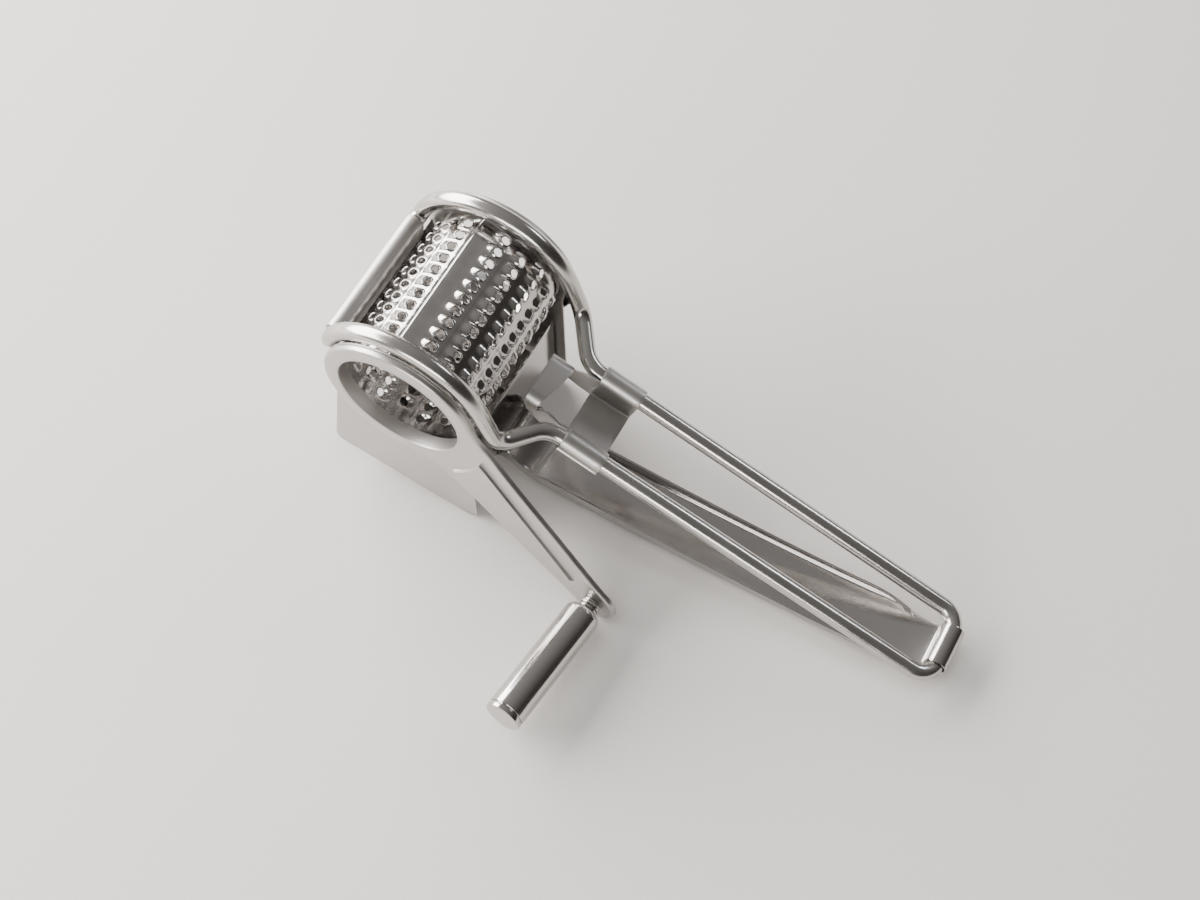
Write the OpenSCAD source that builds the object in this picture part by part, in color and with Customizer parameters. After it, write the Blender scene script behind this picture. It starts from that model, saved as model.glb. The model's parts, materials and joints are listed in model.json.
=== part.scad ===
// Hand-cranked rotary cheese grater in stainless wire and sheet.
// +X runs back along the handle, +Y is the side away from the crank, +Z is up.
// The origin is on the table, under the middle of the overall box.

/* [Stance] */
// height of the drum axis above the table
axis_h = 67.3; // [60:0.1:75]
// how far the frame leans back towards the handle
lean = 9.5; // [4:0.5:14]

/* [Wire frame] */
// thickness of the frame wire
wire_d = 6; // [5:0.1:7]
// radius of the wire hoops about the drum axis, to the middle of the wire
hoop_r = 30.4; // [26:0.1:36]
// angle where the hoops leave the circle towards the handle
hoop_tail = 26.7; // [20:0.1:35]
// angle where the hoops turn into the front bar
hoop_front = 165; // [155:0.1:168]
// bend radius at the ends of the front bar
front_bend_r = 4; // [3.6:0.1:6]
// distance from the drum axis back to the neck
neck_x = 45.4; // [42:0.1:50]
// drop of the neck below the drum axis
neck_drop = 2; // [0:0.1:5]
// half the spacing of the rods at the neck
neck_half_w = 13.6; // [12:0.1:16]
// length of the two handle rods behind the neck
handle_len = 153.8; // [120:0.1:185]
// slope of the handle rods in the frame
handle_slope = 9; // [6:0.1:12]
// half the spacing of the rods at the hanging loop
loop_half_w = 13; // [12:0.1:16]
// bend radius of the hanging loop corners
loop_bend_r = 7; // [5:0.1:9]

/* [Hopper] */
// clear width between the cheeks
body_w = 63.7; // [55:0.1:75]
// thickness of the cheek and wall sheet
sheet_t = 0.7; // [0.5:0.05:1]
// radius of the round top of the cheeks
cheek_r = 28.6; // [26:0.1:31]
// depth of the hopper below the drum axis
hopper_depth = 62; // [54:0.1:70]
// distance from the drum axis to the front edge of the cheeks
hopper_front = 24.5; // [22:0.1:26]
// distance from the drum axis to the back edge of the cheeks at the top
hopper_rear = 25.4; // [24.8:0.1:27]
// distance from the drum axis to the back edge of the cheeks at the foot
hopper_foot = 35; // [31:0.1:39]
// corner radius of the cheeks at the foot
foot_r = 4; // [2:0.1:6]
// width of the turned-in side flanges of the front wall
flange_w = 5; // [3:0.1:6]

/* [Neck bracket] */
// length of the rolled sleeves
sleeve_len = 15.7; // [12:0.1:20]
// thickness of the bracket sheet
bracket_t = 0.8; // [0.6:0.05:1]
// half the width of the bracket over its side walls
bracket_half_w = 10.2; // [9:0.1:11]
// depth of the bracket floor below the rods
bracket_drop = 9.6; // [8:0.1:12]
// reach of the front tongue ahead of the sleeves
tongue_reach = 17; // [14:0.1:19]
// length of the front tongue
tongue_len = 7; // [5:0.1:9]

/* [Drum] */
// outside radius of the drum
drum_r = 23.2; // [21:0.1:25]
// thickness of the drum sheet
drum_t = 0.6; // [0.4:0.05:0.8]
// radial running clearance of the drum in the cheeks
drum_fit = 0.08; // [0.02:0.01:0.1]
// distance from the middle plane to the outer face of the end rings
ring_y = 35; // [34:0.1:40]
// outside radius of the end rings
ring_r = 28.5; // [26:0.1:31]
// depth of the turned-back edge of the end rings
ring_flange = 2; // [1.2:0.1:2.2]
// number of grating rows around the drum
tooth_rows = 17; // [13:2:21]
// number of openings along a row
tooth_count = 10; // [6:1:12]
// size of a grating opening
tooth_hole = 3.2; // [2:0.1:3.6]

/* [Crank] */
// thickness of the crank sheet
crank_t = 0.8; // [0.6:0.05:1.2]
// angle of the arm below level, measured in the leaning frame
arm_angle = 27.5; // [20:0.1:35]
// distance from the drum axis to the grip axis
crank_len = 97; // [85:0.1:110]
// distance from the drum axis to the bend where the arm splays out
arm_bend = 30; // [29:0.1:34]
// outward splay of the arm
splay = 7.5; // [4:0.1:10]
// half width of the arm where it leaves the ring
arm_root_w = 14.5; // [12:0.1:18]
// half width of the arm near the eye
arm_tip_w = 11; // [8:0.1:13]
// radius of the eye
eye_r = 8.4; // [7:0.1:10]
// height of the raised panel on the arm
panel_h = 0.7; // [0.4:0.05:1]

/* [Grip] */
// radius of the grip
grip_r = 6.7; // [5.5:0.1:8]
// length of the grip tube
grip_len = 45.7; // [35:0.1:60]
// thickness of the grip tube
grip_wall = 0.8; // [0.6:0.05:1.2]
// radius of the rounded shoulder of the grip
shoulder_r = 3; // [2:0.1:4]
// radius of the pin the grip turns on
pin_r = 2.4; // [2:0.1:3]
// radial running clearance of the grip on its pin
grip_fit = 0.08; // [0.02:0.01:0.1]
// thickness of each collar between eye and grip
collar_t = 1.2; // [0.8:0.1:2.5]
// thickness of the grip's end cap
cap_t = 1.8; // [1.2:0.1:3]

/* [Press lever] */
// thickness of the lever sheet
lever_t = 0.8; // [0.6:0.05:1.2]
// half the width of the lever channel
lever_half_w = 11.2; // [10:0.1:12]
// half the width of the lever at the hook
hook_half_w = 7.6; // [6:0.1:8]
// radial play of the hook round the hanging loop bar
hook_play = 1.5; // [1:0.1:2]
// height of the lever's side flanges over its floor
lever_side = 6.2; // [4:0.1:8]
// sag of the lever's floor below its pivot
lever_sag = 9.1; // [7:0.1:9.2]
// thickness of the press sheet
plate_t = 0.8; // [0.6:0.05:1.2]
// side play of the press between the walls
plate_play = 0.35; // [0.3:0.05:1]
// distance of the press's back behind the drum axis
back_x = 20.3; // [18:0.1:22]
// depth of the press's bottom below the drum axis
plate_depth = 56.2; // [52:0.1:58]
// height of the press's back
back_h = 31.4; // [26:0.1:34]
// length of the press's bottom
plate_len = 38; // [30:0.1:42]
// height of the turned-up front edge of the press
lip_h = 6; // [3:0.1:9]
// radius of the rivets that hold the press plate
rivet_r = 1.6; // [1.2:0.1:2.4]
// distance between the two rivets
rivet_gap = 12; // [8:0.1:14]

/* [Hidden] */
$fn = 64;

steel = [0.78, 0.78, 0.79];
satin = [0.66, 0.66, 0.68];

wire_r = wire_d / 2;
cheek_y = body_w / 2;
hoop_y = cheek_y - wire_r;
seam_h = 0.03;
neck_bend_r1 = 7.7;
neck_bend_r2 = 11;
shoulder_drop = 13.2;

// Middle line of one side of the wire frame, from the hoop to the handle.
tail_dir = [sin(hoop_tail), 0, -cos(hoop_tail)];
hoop_end = [hoop_r * cos(hoop_tail), -hoop_y, hoop_r * sin(hoop_tail)];
knee_1 = hoop_end + tail_dir * shoulder_drop / cos(hoop_tail);
knee_2 = [neck_x, -neck_half_w, -neck_drop];
rod_dir = [cos(handle_slope), 0, -sin(handle_slope)];
corner = [knee_2[0], -loop_half_w, knee_2[2]] + rod_dir * handle_len;
sleeve_from = 5.9;
joint_at = sleeve_from + sleeve_len / 2;
joint = knee_2 + unit(corner - knee_2) * joint_at;
loop_mid = [corner[0], 0, corner[2]];

// Front bar of the hoops.
front_a = hoop_r * [cos(hoop_front), 0, sin(hoop_front)];
front_t = [-sin(hoop_front), 0, cos(hoop_front)];
front_bar = front_a + front_t * front_bend_r;
roll_r = wire_r + sheet_t;
roll_half_w = hoop_y - front_bend_r - 0.1;

sleeve_r = wire_r + bracket_t;
bushing_len = 5;
pin_head_r = 4.2;
pin_head_t = 1.4;
collar_r = 3.9;
grip_gap = 0.3;
cap_groove = 0.6;
lap = 0.02;
arm_run = (crank_len - arm_bend) / cos(splay);
grip_start = 3 * collar_t + grip_gap;

// Box of the whole object, used to set the origin.
pin_out = grip_start + grip_len + cap_groove + cap_t;
eye_mid = turn_y(arm_angle, [crank_len, -ring_y - arm_run * sin(splay), 0]);
pin_dir = turn_y(arm_angle, [-sin(splay), -cos(splay), 0]);
x_low = min(posed(front_bar)[0] - roll_r, -cheek_r);
x_high = posed(loop_mid)[0] + wire_r + hook_play + lever_t;
y_low = posed(eye_mid + pin_dir * pin_out)[1] - (grip_r) * abs(sin(splay));
y_high = ring_y;
shift = [-(x_low + x_high) / 2, -(y_low + y_high) / 2, axis_h];

function unit(v) = v / norm(v);
function turn_y(a, v) = [v[0] * cos(a) + v[2] * sin(a), v[1], v[2] * cos(a) - v[0] * sin(a)];
function posed(v) = turn_y(lean, v);
function angle_between(a, b) = acos(unit(a) * unit(b));
// Turns about X, Y and Z that carry the axes onto the directions x, y and z.
function turns(x, y, z) = [atan2(y[2], z[2]), -asin(x[2]), atan2(x[1], x[0])];

module pose() {
  translate(shift)
    rotate([0, lean, 0])
      children();
}

// A straight length of wire between two points.
module wire_run(a, b) {
  d = b - a;
  translate(a)
    rotate([0, acos(d[2] / norm(d)), atan2(d[1], d[0])])
      cylinder(h = norm(d), r = wire_r);
}

// A bend that rounds the corner c between the directions a and b.
module wire_bend(c, a, b, r) {
  t = angle_between(a, b);
  z = unit(cross(a, b));
  y = unit(a);
  x = cross(y, z);
  start = c - y * r * tan(t / 2);
  translate(start - x * r)
    rotate(turns(x, y, z))
      rotate_extrude(angle = t)
        translate([r, 0])
          circle(r = wire_r);
}

// A slight swelling that closes the seam between two lengths of wire.
module wire_seam(c) {
  translate(c)
    sphere(r = wire_r + seam_h);
}

// Setback of a rounded corner along its two legs.
function setback(a, b, r) = r * tan(angle_between(a, b) / 2);

module hoop_side() {
  d1 = unit(knee_2 - knee_1);
  d2 = unit(joint - knee_2);
  s1 = setback(tail_dir, d1, neck_bend_r1);
  s2 = setback(d1, d2, neck_bend_r2);
  translate([0, -hoop_y, 0])
    rotate([90, 0, 0])
      rotate_extrude_arc(hoop_tail, hoop_front);
  wire_run(hoop_end, knee_1 - tail_dir * s1);
  wire_bend(knee_1, tail_dir, d1, neck_bend_r1);
  wire_run(knee_1 + d1 * s1, knee_2 - d1 * s2);
  wire_bend(knee_2, d1, d2, neck_bend_r2);
  wire_run(knee_2 + d2 * s2, joint);
  wire_bend([front_bar[0], -hoop_y, front_bar[2]], front_t, [0, 1, 0], front_bend_r);
  for (c = [hoop_end, knee_1 - tail_dir * s1, knee_1 + d1 * s1, knee_2 - d1 * s2, knee_2 + d2 * s2,
            front_a - [0, hoop_y, 0], [front_bar[0], front_bend_r - hoop_y, front_bar[2]]])
    wire_seam(c);
}

// The round part of a hoop; the sweep keeps the angles measured up from the back.
module rotate_extrude_arc(from, to) {
  rotate([0, 0, from])
    rotate_extrude(angle = to - from)
      translate([hoop_r, 0])
        circle(r = wire_r);
}

module both_sides() {
  children();
  mirror([0, 1, 0])
    children();
}

module drum_hoop() {
  bar_half = hoop_y - front_bend_r;
  color(steel)
    pose()
      union() {
        both_sides()
          hoop_side();
        translate([front_bar[0], bar_half, front_bar[2]])
          rotate([90, 0, 0])
            cylinder(h = 2 * bar_half, r = wire_r);
      }
}

module handle_loop() {
  d = unit(corner - knee_2);
  s = setback(d, [0, 1, 0], loop_bend_r);
  color(steel)
    pose()
      union() {
        both_sides() {
          wire_run(joint, corner - d * s);
          wire_bend(corner, d, [0, 1, 0], loop_bend_r);
          wire_seam(corner - d * s);
          wire_seam(corner + [0, s, 0]);
        }
        translate([corner[0], loop_half_w - s, corner[2]])
          rotate([90, 0, 0])
            cylinder(h = 2 * (loop_half_w - s), r = wire_r);
      }
}

// The bracket is one sheet: two rolled sleeves, two side walls, a floor and a front tongue.
module neck_bracket() {
  d = unit(corner - knee_2);
  sleeve_start = knee_2 + d * sleeve_from;
  wall_y = bracket_half_w - bracket_t;
  floor_z = -bracket_drop;
  color(satin)
    pose()
      difference() {
        union() {
          both_sides()
            translate(sleeve_start)
              rotate([0, acos(d[2]), atan2(d[1], d[0])])
                cylinder(h = sleeve_len, r = sleeve_r);
          translate([sleeve_start[0], 0, sleeve_start[2]])
            rotate([0, handle_slope, 0]) {
              both_sides() {
                translate([0, wall_y, floor_z])
                  cube([sleeve_len, bracket_t, bracket_drop]);
                translate([-tongue_reach, wall_y, 0])
                  rotate([90, 0, 0])
                    mirror([0, 0, 1])
                      linear_extrude(bracket_t)
                        side_arm();
              }
              translate([0, -wall_y, floor_z])
                cube([sleeve_len, 2 * wall_y, bracket_t]);
              tongue();
            }
        }
        both_sides()
          bore_run();
      }
}

// Side strip that joins the floor to the front tongue.
module side_arm() {
  polygon([[0, 3], [2, 4], [8, 2.6], [tongue_reach + 1, -4], [tongue_reach + 1, -bracket_drop],
           [tongue_reach, -bracket_drop], [5, -3], [0, 0.5]]);
}

module tongue() {
  r = 4;
  translate([-tongue_reach, 0, 2.2])
    linear_extrude(bracket_t)
      intersection() {
        translate([0, -bracket_half_w + bracket_t / 2])
          square([tongue_len, 2 * bracket_half_w - bracket_t]);
        union() {
          translate([r, -bracket_half_w])
            square([tongue_len, 2 * bracket_half_w]);
          translate([0, -bracket_half_w + r])
            square([r, 2 * (bracket_half_w - r)]);
          for (s = [-1, 1])
            translate([r, s * (bracket_half_w - r)])
              circle(r = r);
        }
      }
}

// The hole down a sleeve, the size of the wire.
module bore_run() {
  d = unit(corner - knee_2);
  a = knee_2 + d * (sleeve_from - 1);
  translate(a)
    rotate([0, acos(d[2]), atan2(d[1], d[0])])
      cylinder(h = sleeve_len + 2, r = wire_r);
}

// Side plate outline, seen from the crank side: x back, y up.
module cheek_outline() {
  knee_z = -7.4;
  difference() {
    union() {
      intersection() {
        circle(r = cheek_r);
        translate([-cheek_r, -cheek_r])
          square([cheek_r + hopper_rear, 2 * cheek_r]);
      }
      polygon([[-hopper_front, 0], [-hopper_front, -hopper_depth + foot_r],
               [-hopper_front + foot_r, -hopper_depth], [hopper_foot - foot_r, -hopper_depth],
               [hopper_foot - 0.6, -hopper_depth + foot_r], [hopper_rear, knee_z], [hopper_rear, 0]]);
      translate([-hopper_front + foot_r, -hopper_depth + foot_r])
        circle(r = foot_r);
      translate([hopper_foot - foot_r - 0.6, -hopper_depth + foot_r])
        circle(r = foot_r);
    }
    circle(r = drum_r + drum_fit);
  }
}

module cheek() {
  rotate([90, 0, 0])
    linear_extrude(sheet_t)
      cheek_outline();
}

module cheek_near() {
  color(satin)
    pose()
      translate([0, -cheek_y, 0])
        cheek();
}

module cheek_far() {
  color(satin)
    pose()
      translate([0, cheek_y + sheet_t, 0])
        cheek();
}

// Front wall: rolled round the front bar, then down to the foot, with two side flanges.
module front_wall() {
  back = front_bar[0] + roll_r;
  inner = -hopper_front + sheet_t;
  foot = -hopper_depth + foot_r;
  color(satin)
    pose()
      difference() {
        union() {
          across(roll_half_w) {
            translate([front_bar[0], front_bar[2]])
              circle(r = roll_r);
            polygon([[back, front_bar[2]], [back, -2], [back - sheet_t, -2],
                     [back - sheet_t, front_bar[2]]]);
          }
          across(cheek_y)
            polygon([[back - sheet_t, -2], [back, -2], [inner, -16], [inner, foot],
                     [inner - sheet_t, foot], [inner - sheet_t, -16]]);
          both_sides()
            translate([inner - sheet_t / 2, cheek_y - sheet_t, foot])
              cube([flange_w, sheet_t, 34]);
        }
        across(cheek_y)
          translate([front_bar[0], front_bar[2]])
            circle(r = wire_r);
      }
}

// Draws a side profile right across the body, half the given width each way.
module across(half_w) {
  translate([0, half_w, 0])
    rotate([90, 0, 0])
      linear_extrude(2 * half_w)
        children();
}

module drum_tube(h) {
  rotate([90, 0, 0])
    difference() {
      cylinder(h = h, r = drum_r);
      translate([0, 0, -1])
        cylinder(h = h + 2, r = drum_r - drum_t);
    }
}

// The drum's smooth lap seam lies at seam_at, turned from the top; rows start on either side.
seam_at = -19;

module drum_shell() {
  pitch_y = 2 * (cheek_y - 4) / (tooth_count + 0.5);
  step = 360 / (tooth_rows + 0.78);
  color(steel)
    pose()
      difference() {
        translate([0, ring_y, 0])
          drum_tube(2 * ring_y);
        for (i = [0 : tooth_rows - 1])
          for (k = [0 : tooth_count - 1])
            rotate([0, seam_at + (i + 1.3) * step, 0])
              translate([-tooth_hole / 2, (k - (tooth_count - 1) / 2 + (i % 2) / 2 - 0.25) * pitch_y,
                         drum_r - 2])
                cube([tooth_hole / 2, tooth_hole, 4]);
      }
}

// Ring with a turned-back edge, outer face at y = 0, facing -y.
module end_ring() {
  rotate([-90, 0, 0]) {
    difference() {
      cylinder(h = ring_flange, r = ring_r);
      translate([0, 0, crank_t])
        cylinder(h = ring_flange, r = ring_r - crank_t);
      translate([0, 0, -1])
        cylinder(h = ring_flange + 2, r = drum_r);
    }
  }
}

module drum_ring_far() {
  color(satin)
    pose()
      translate([0, ring_y, 0])
        mirror([0, 1, 0])
          end_ring();
}

// Outline of the arm beyond its bend, drawn from the bend; inset shrinks it.
module arm_outline(inset) {
  neck = arm_run - 23;
  polygon([[0, -16.9 + inset], [5, -15.6 + inset], [13, -arm_root_w + inset], [neck, -arm_tip_w + inset],
           [arm_run - 3, -eye_r + inset], [arm_run - 3, eye_r - inset], [neck, arm_tip_w - inset],
           [13, arm_root_w - inset], [5, 15.6 - inset], [0, 16.9 - inset]]);
  translate([arm_run, 0])
    circle(r = eye_r - inset);
}

// Raised wedge: an arc at the hub end running out to a point near the eye.
module panel_outline() {
  arc_r = 32.5;
  half = 15;
  tip = arm_run - 11;
  polygon(concat([for (a = [-half : 3 : half]) [arc_r * cos(a) - arm_bend, arc_r * sin(a)]],
                 [[tip, 0.5], [tip, -0.5]]));
}

module crank_plate() {
  color(satin)
    pose()
      rotate([0, arm_angle, 0])
        translate([0, -ring_y, 0]) {
          end_ring();
          difference() {
            translate([arm_bend, 0, 0])
              rotate([0, 0, -splay])
                rotate([-90, 0, 0]) {
                  difference() {
                    linear_extrude(ring_flange)
                      arm_outline(0);
                    translate([0, 0, crank_t])
                      linear_extrude(ring_flange)
                        arm_outline(crank_t);
                    translate([arm_run, 0, -1])
                      cylinder(h = ring_flange + 2, r = pin_r);
                  }
                  translate([0, 0, -panel_h])
                    linear_extrude(panel_h)
                      panel_outline();
                }
          }
          // flat web between the ring and the bend
          rotate([-90, 0, 0])
            difference() {
              linear_extrude(crank_t)
                polygon([[21.5, -18.6], [arm_bend + 0.3, -16.8], [arm_bend + 0.3, 16.8], [21.5, 18.6]]);
              translate([0, 0, -1])
                cylinder(h = crank_t + 2, r = ring_r - 1);
            }
        }
}

// Puts the children on the grip axis, z running out from the eye's outer face.
module on_grip_axis() {
  pose()
    rotate([0, arm_angle, 0])
      translate([arm_bend, -ring_y, 0])
        rotate([0, 0, -splay])
          translate([arm_run, 0, 0])
            rotate([90, 0, 0])
              children();
}

module grip_pin() {
  head_at = grip_start + grip_wall + grip_gap;
  color(steel)
    on_grip_axis()
      union() {
        translate([0, 0, -crank_t - 1])
          cylinder(h = 1, r = pin_head_r);
        translate([0, 0, -crank_t])
          cylinder(h = pin_out + crank_t - cap_t / 2, r = pin_r);
        translate([0, 0, head_at + bushing_len])
          cylinder(h = pin_head_t, r = pin_head_r);
      }
}

module collar(index, r) {
  translate([0, 0, index * collar_t])
    difference() {
      cylinder(h = collar_t, r = r);
      translate([0, 0, -1])
        cylinder(h = collar_t + 2, r = pin_r);
    }
}

module collar_inner() {
  color(steel)
    on_grip_axis()
      collar(0, collar_r - 0.4);
}

module collar_middle() {
  color(steel)
    on_grip_axis()
      collar(1, collar_r);
}

module collar_outer() {
  color(steel)
    on_grip_axis()
      collar(2, collar_r - 0.3);
}

// Half section of the grip tube: closed shoulder with a bushing, open far end.
module grip_section() {
  bore = pin_r + grip_fit;
  inner = grip_r - grip_wall;
  mid = grip_r - shoulder_r;
  in_r = shoulder_r - grip_wall;
  polygon(concat([[bore, 0]],
                 [for (a = [-90 : 9 : 0]) [mid + shoulder_r * cos(a), shoulder_r + shoulder_r * sin(a)]],
                 [[grip_r, grip_len], [inner, grip_len]],
                 [for (a = [0 : -9 : -90]) [mid + in_r * cos(a), shoulder_r + in_r * sin(a)]],
                 [[bore + grip_wall, grip_wall], [bore + grip_wall, bushing_len], [bore, bushing_len]]));
}

module grip_tube() {
  color(steel)
    on_grip_axis()
      translate([0, 0, grip_start])
        rotate_extrude()
          grip_section();
}

// End cap: a plug inside the tube, a shallow groove and the flat disc.
module grip_cap() {
  plug = 4;
  inner = grip_r - grip_wall;
  color(steel)
    on_grip_axis()
      translate([0, 0, grip_start + grip_len])
        difference() {
          union() {
            translate([0, 0, -plug])
              cylinder(h = plug, r = inner);
            cylinder(h = cap_groove, r = grip_r - 0.6);
            translate([0, 0, cap_groove])
              cylinder(h = cap_t, r = grip_r);
          }
          translate([0, 0, -plug - 1])
            cylinder(h = plug + 1 + cap_groove + cap_t / 2 + grip_gap, r = pin_r + grip_fit);
        }
}

// The lever is drawn in level axes with its pivot, the hanging loop bar, at the origin;
// distances run forward from the pivot, towards the hopper.
module lever_pose() {
  translate(shift + posed(loop_mid))
    children();
}

pivot = posed(loop_mid);
plate_z = -plate_depth - pivot[2];
back_s = pivot[0] - back_x;
step_from = back_s - 14;
step_len = 12;
side_end = back_s - plate_t - 0.2;
rivet_s = back_s + 14;
lever_end = rivet_s + 6;
hook_from = 5;
taper_from = 12;
hook_in = wire_r + hook_play;
hook_out = hook_in + lever_t;
hook_back = 2.6;

// Height of the underside of the lever's floor, without the step up to the press plate.
function base(s) = -lever_sag + 0.0004 * pow(s - 62, 2) + 6.2 * exp(-(s - hook_from) / 11);
function ease(t) = t <= 0 ? 0 : t >= 1 ? 1 : t * t * (3 - 2 * t);
step_h = plate_z - lever_t - base(step_from + step_len);
function belly(s) = base(min(s, step_from + step_len)) + step_h * ease((s - step_from) / step_len);
function rise(s) = lever_side * (0.55 + 0.45 * min(1, (s - 20) / 110)) * ease((s - taper_from) / 20);

module lever_floor_profile() {
  n = 40;
  ds = (lever_end - hook_from) / n;
  polygon(concat([for (i = [0 : n]) [-hook_from - i * ds, belly(hook_from + i * ds)]],
                 [for (i = [n : -1 : 0]) [-hook_from - i * ds, belly(hook_from + i * ds) + lever_t]]));
}

module lever_side_profile() {
  n = 40;
  a = taper_from;
  ds = (side_end - a) / n;
  polygon(concat([for (i = [0 : n]) [-a - i * ds, belly(a + i * ds)]],
                 [for (i = [n : -1 : 0]) [-a - i * ds, belly(a + i * ds) + lever_t + rise(a + i * ds)]]));
}

// Half width of the lever: full along the channel, narrower at the hook.
module lever_plan() {
  for (m = [0, 1])
    mirror([0, m])
      polygon([[0, -1], [0, hook_half_w], [-taper_from + 3, hook_half_w], [-taper_from - 13, lever_half_w],
               [-side_end, lever_half_w], [-lever_end, lever_half_w], [-lever_end, -1]]);
}

module lever_sides() {
  bend_len = 13.4;
  translate([-taper_from - 13, lever_half_w, -40])
    mirror([0, 1, 0])
      cube([1, lever_t, 80]);
  translate([-side_end - 1, lever_half_w - lever_t, -40])
    cube([side_end - taper_from - 12, lever_t, 80]);
  translate([-taper_from - 13, lever_half_w - lever_t, -40])
    rotate([0, 0, -atan2(lever_half_w - hook_half_w, 16)])
      cube([bend_len, lever_t, 80]);
}

module press_lever() {
  color(steel)
    lever_pose()
      difference() {
        union() {
          intersection() {
            across(lever_half_w)
              lever_floor_profile();
            translate([0, 0, -40])
              linear_extrude(80)
                lever_plan();
          }
          both_sides()
            intersection() {
              across(lever_half_w)
                lever_side_profile();
              lever_sides();
            }
          across(hook_half_w)
            hook_profile();
        }
        rivet_pair();
      }
}

// The hook: up in front of the bar, over it and down behind.
module hook_profile() {
  foot = belly(hook_from);
  difference() {
    circle(r = hook_out);
    circle(r = hook_in);
    translate([-hook_out - 1, -hook_out - 1])
      square([hook_out + 1 + hook_back, hook_out + 1]);
  }
  translate([-hook_out, foot])
    square([lever_t, lap - foot]);
}

// A strip of sheet of the given thickness that follows a line; it lies to the left of the line.
function left_of(p, i) = unit([-(p[min(i + 1, len(p) - 1)] - p[max(i - 1, 0)])[1],
                               (p[min(i + 1, len(p) - 1)] - p[max(i - 1, 0)])[0]]);
module strip(p, t) {
  polygon(concat(p, [for (i = [len(p) - 1 : -1 : 0]) p[i] + t * left_of(p, i)]));
}

// The press: one bent sheet, with its back at the right, its bottom and a turned-up front edge.
module press_plate() {
  r = 4;
  line = concat([[-back_s, plate_z + back_h]],
                [for (a = [0 : -10 : -90]) [-back_s - r + r * cos(a), plate_z + r + r * sin(a)]],
                [for (a = [-90 : -10 : -150])
                  [-back_s - plate_len + r * cos(a), plate_z + r + r * sin(a)]],
                [[-back_s - plate_len - lip_h * 0.9, plate_z + lip_h]]);
  color(satin)
    lever_pose()
      difference() {
        across(cheek_y - sheet_t - plate_play)
          mirror([1, 0])
            strip([for (q = line) [-q[0], q[1]]], plate_t);
        rivet_pair();
      }
}

// Two rivets through the lever's floor and the press plate.
module rivet_pair() {
  head = 0.8;
  head_r = 1.6 * rivet_r;
  for (s = [-1, 1])
    translate([-rivet_s, s * rivet_gap / 2, plate_z - lever_t]) {
      translate([0, 0, -head])
        cylinder(h = head, r = head_r);
      cylinder(h = lever_t + plate_t + head, r = rivet_r);
      translate([0, 0, lever_t + plate_t])
        cylinder(h = head, r = head_r);
    }
}

module press_rivets() {
  color(steel)
    lever_pose()
      rivet_pair();
}

drum_hoop();
handle_loop();
neck_bracket();
cheek_near();
cheek_far();
front_wall();
drum_shell();
drum_ring_far();
crank_plate();
grip_pin();
collar_inner();
collar_middle();
collar_outer();
grip_tube();
grip_cap();
press_lever();
press_plate();
press_rivets();
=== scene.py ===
"""Hand-cranked rotary cheese grater in stainless steel wire and sheet, built piece by piece."""

import json
from math import atan2, ceil, cos, exp, hypot, pi, radians, sin, tan

import bmesh
import bpy
from mathutils import Matrix, Vector
from mathutils.geometry import delaunay_2d_cdt


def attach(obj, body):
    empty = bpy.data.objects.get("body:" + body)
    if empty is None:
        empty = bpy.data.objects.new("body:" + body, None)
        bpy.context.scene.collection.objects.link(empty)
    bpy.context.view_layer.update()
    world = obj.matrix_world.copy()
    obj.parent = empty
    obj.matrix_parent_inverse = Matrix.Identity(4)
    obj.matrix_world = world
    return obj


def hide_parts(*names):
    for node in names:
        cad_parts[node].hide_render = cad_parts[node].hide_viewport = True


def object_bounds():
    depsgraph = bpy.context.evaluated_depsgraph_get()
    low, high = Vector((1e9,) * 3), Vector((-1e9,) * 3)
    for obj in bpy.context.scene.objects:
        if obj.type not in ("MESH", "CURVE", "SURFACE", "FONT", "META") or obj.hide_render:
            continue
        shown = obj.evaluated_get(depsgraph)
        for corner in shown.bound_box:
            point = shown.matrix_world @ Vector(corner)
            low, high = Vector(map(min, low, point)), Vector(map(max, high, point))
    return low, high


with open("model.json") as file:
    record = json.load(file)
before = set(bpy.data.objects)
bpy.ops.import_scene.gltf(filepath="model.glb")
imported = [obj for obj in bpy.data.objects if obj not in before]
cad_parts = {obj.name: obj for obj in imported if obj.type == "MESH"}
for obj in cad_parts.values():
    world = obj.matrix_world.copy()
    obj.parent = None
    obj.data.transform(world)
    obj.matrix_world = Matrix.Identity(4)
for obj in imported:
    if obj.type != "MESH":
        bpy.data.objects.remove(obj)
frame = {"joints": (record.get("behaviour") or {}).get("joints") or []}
cad_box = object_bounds()

# ---------------------------------------------------------------------------------------------
# Wire hoop. One length of 6 mm stainless wire, bent over both ends of the drum and across the
# front; its two tails turn in towards the handle and end inside the bracket's sleeves.
# Sizes in every section are in millimetres, measured from the middle of the drum's axis.
joint_at = {j["name"]: j for j in frame["joints"]}
drum_middle = Vector(joint_at["drum_spin"]["pos_m"])
FRAME_LEAN = radians(9.5)
on_frame = (Matrix.Translation(drum_middle) @ Matrix.Rotation(FRAME_LEAN, 4, "Y")
            @ Matrix.Scale(0.001, 4))

WIRE_R = 3.0
HOOP_R = 30.4
HOOP_Y = 28.85
HOOP_TAIL = radians(26.7)
HOOP_FRONT = radians(165)
TAIL_DROP = 13.2
SHOULDER_BEND, NECK_BEND, FRONT_BEND, LOOP_BEND = 7.7, 11, 4, 7
BAR_DROP = 4
ROD_SLOPE = radians(9)
ROD_LENGTH = 153.8
SLEEVE_FROM = 5.9
SLEEVE_LENGTH = 15.7

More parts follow.
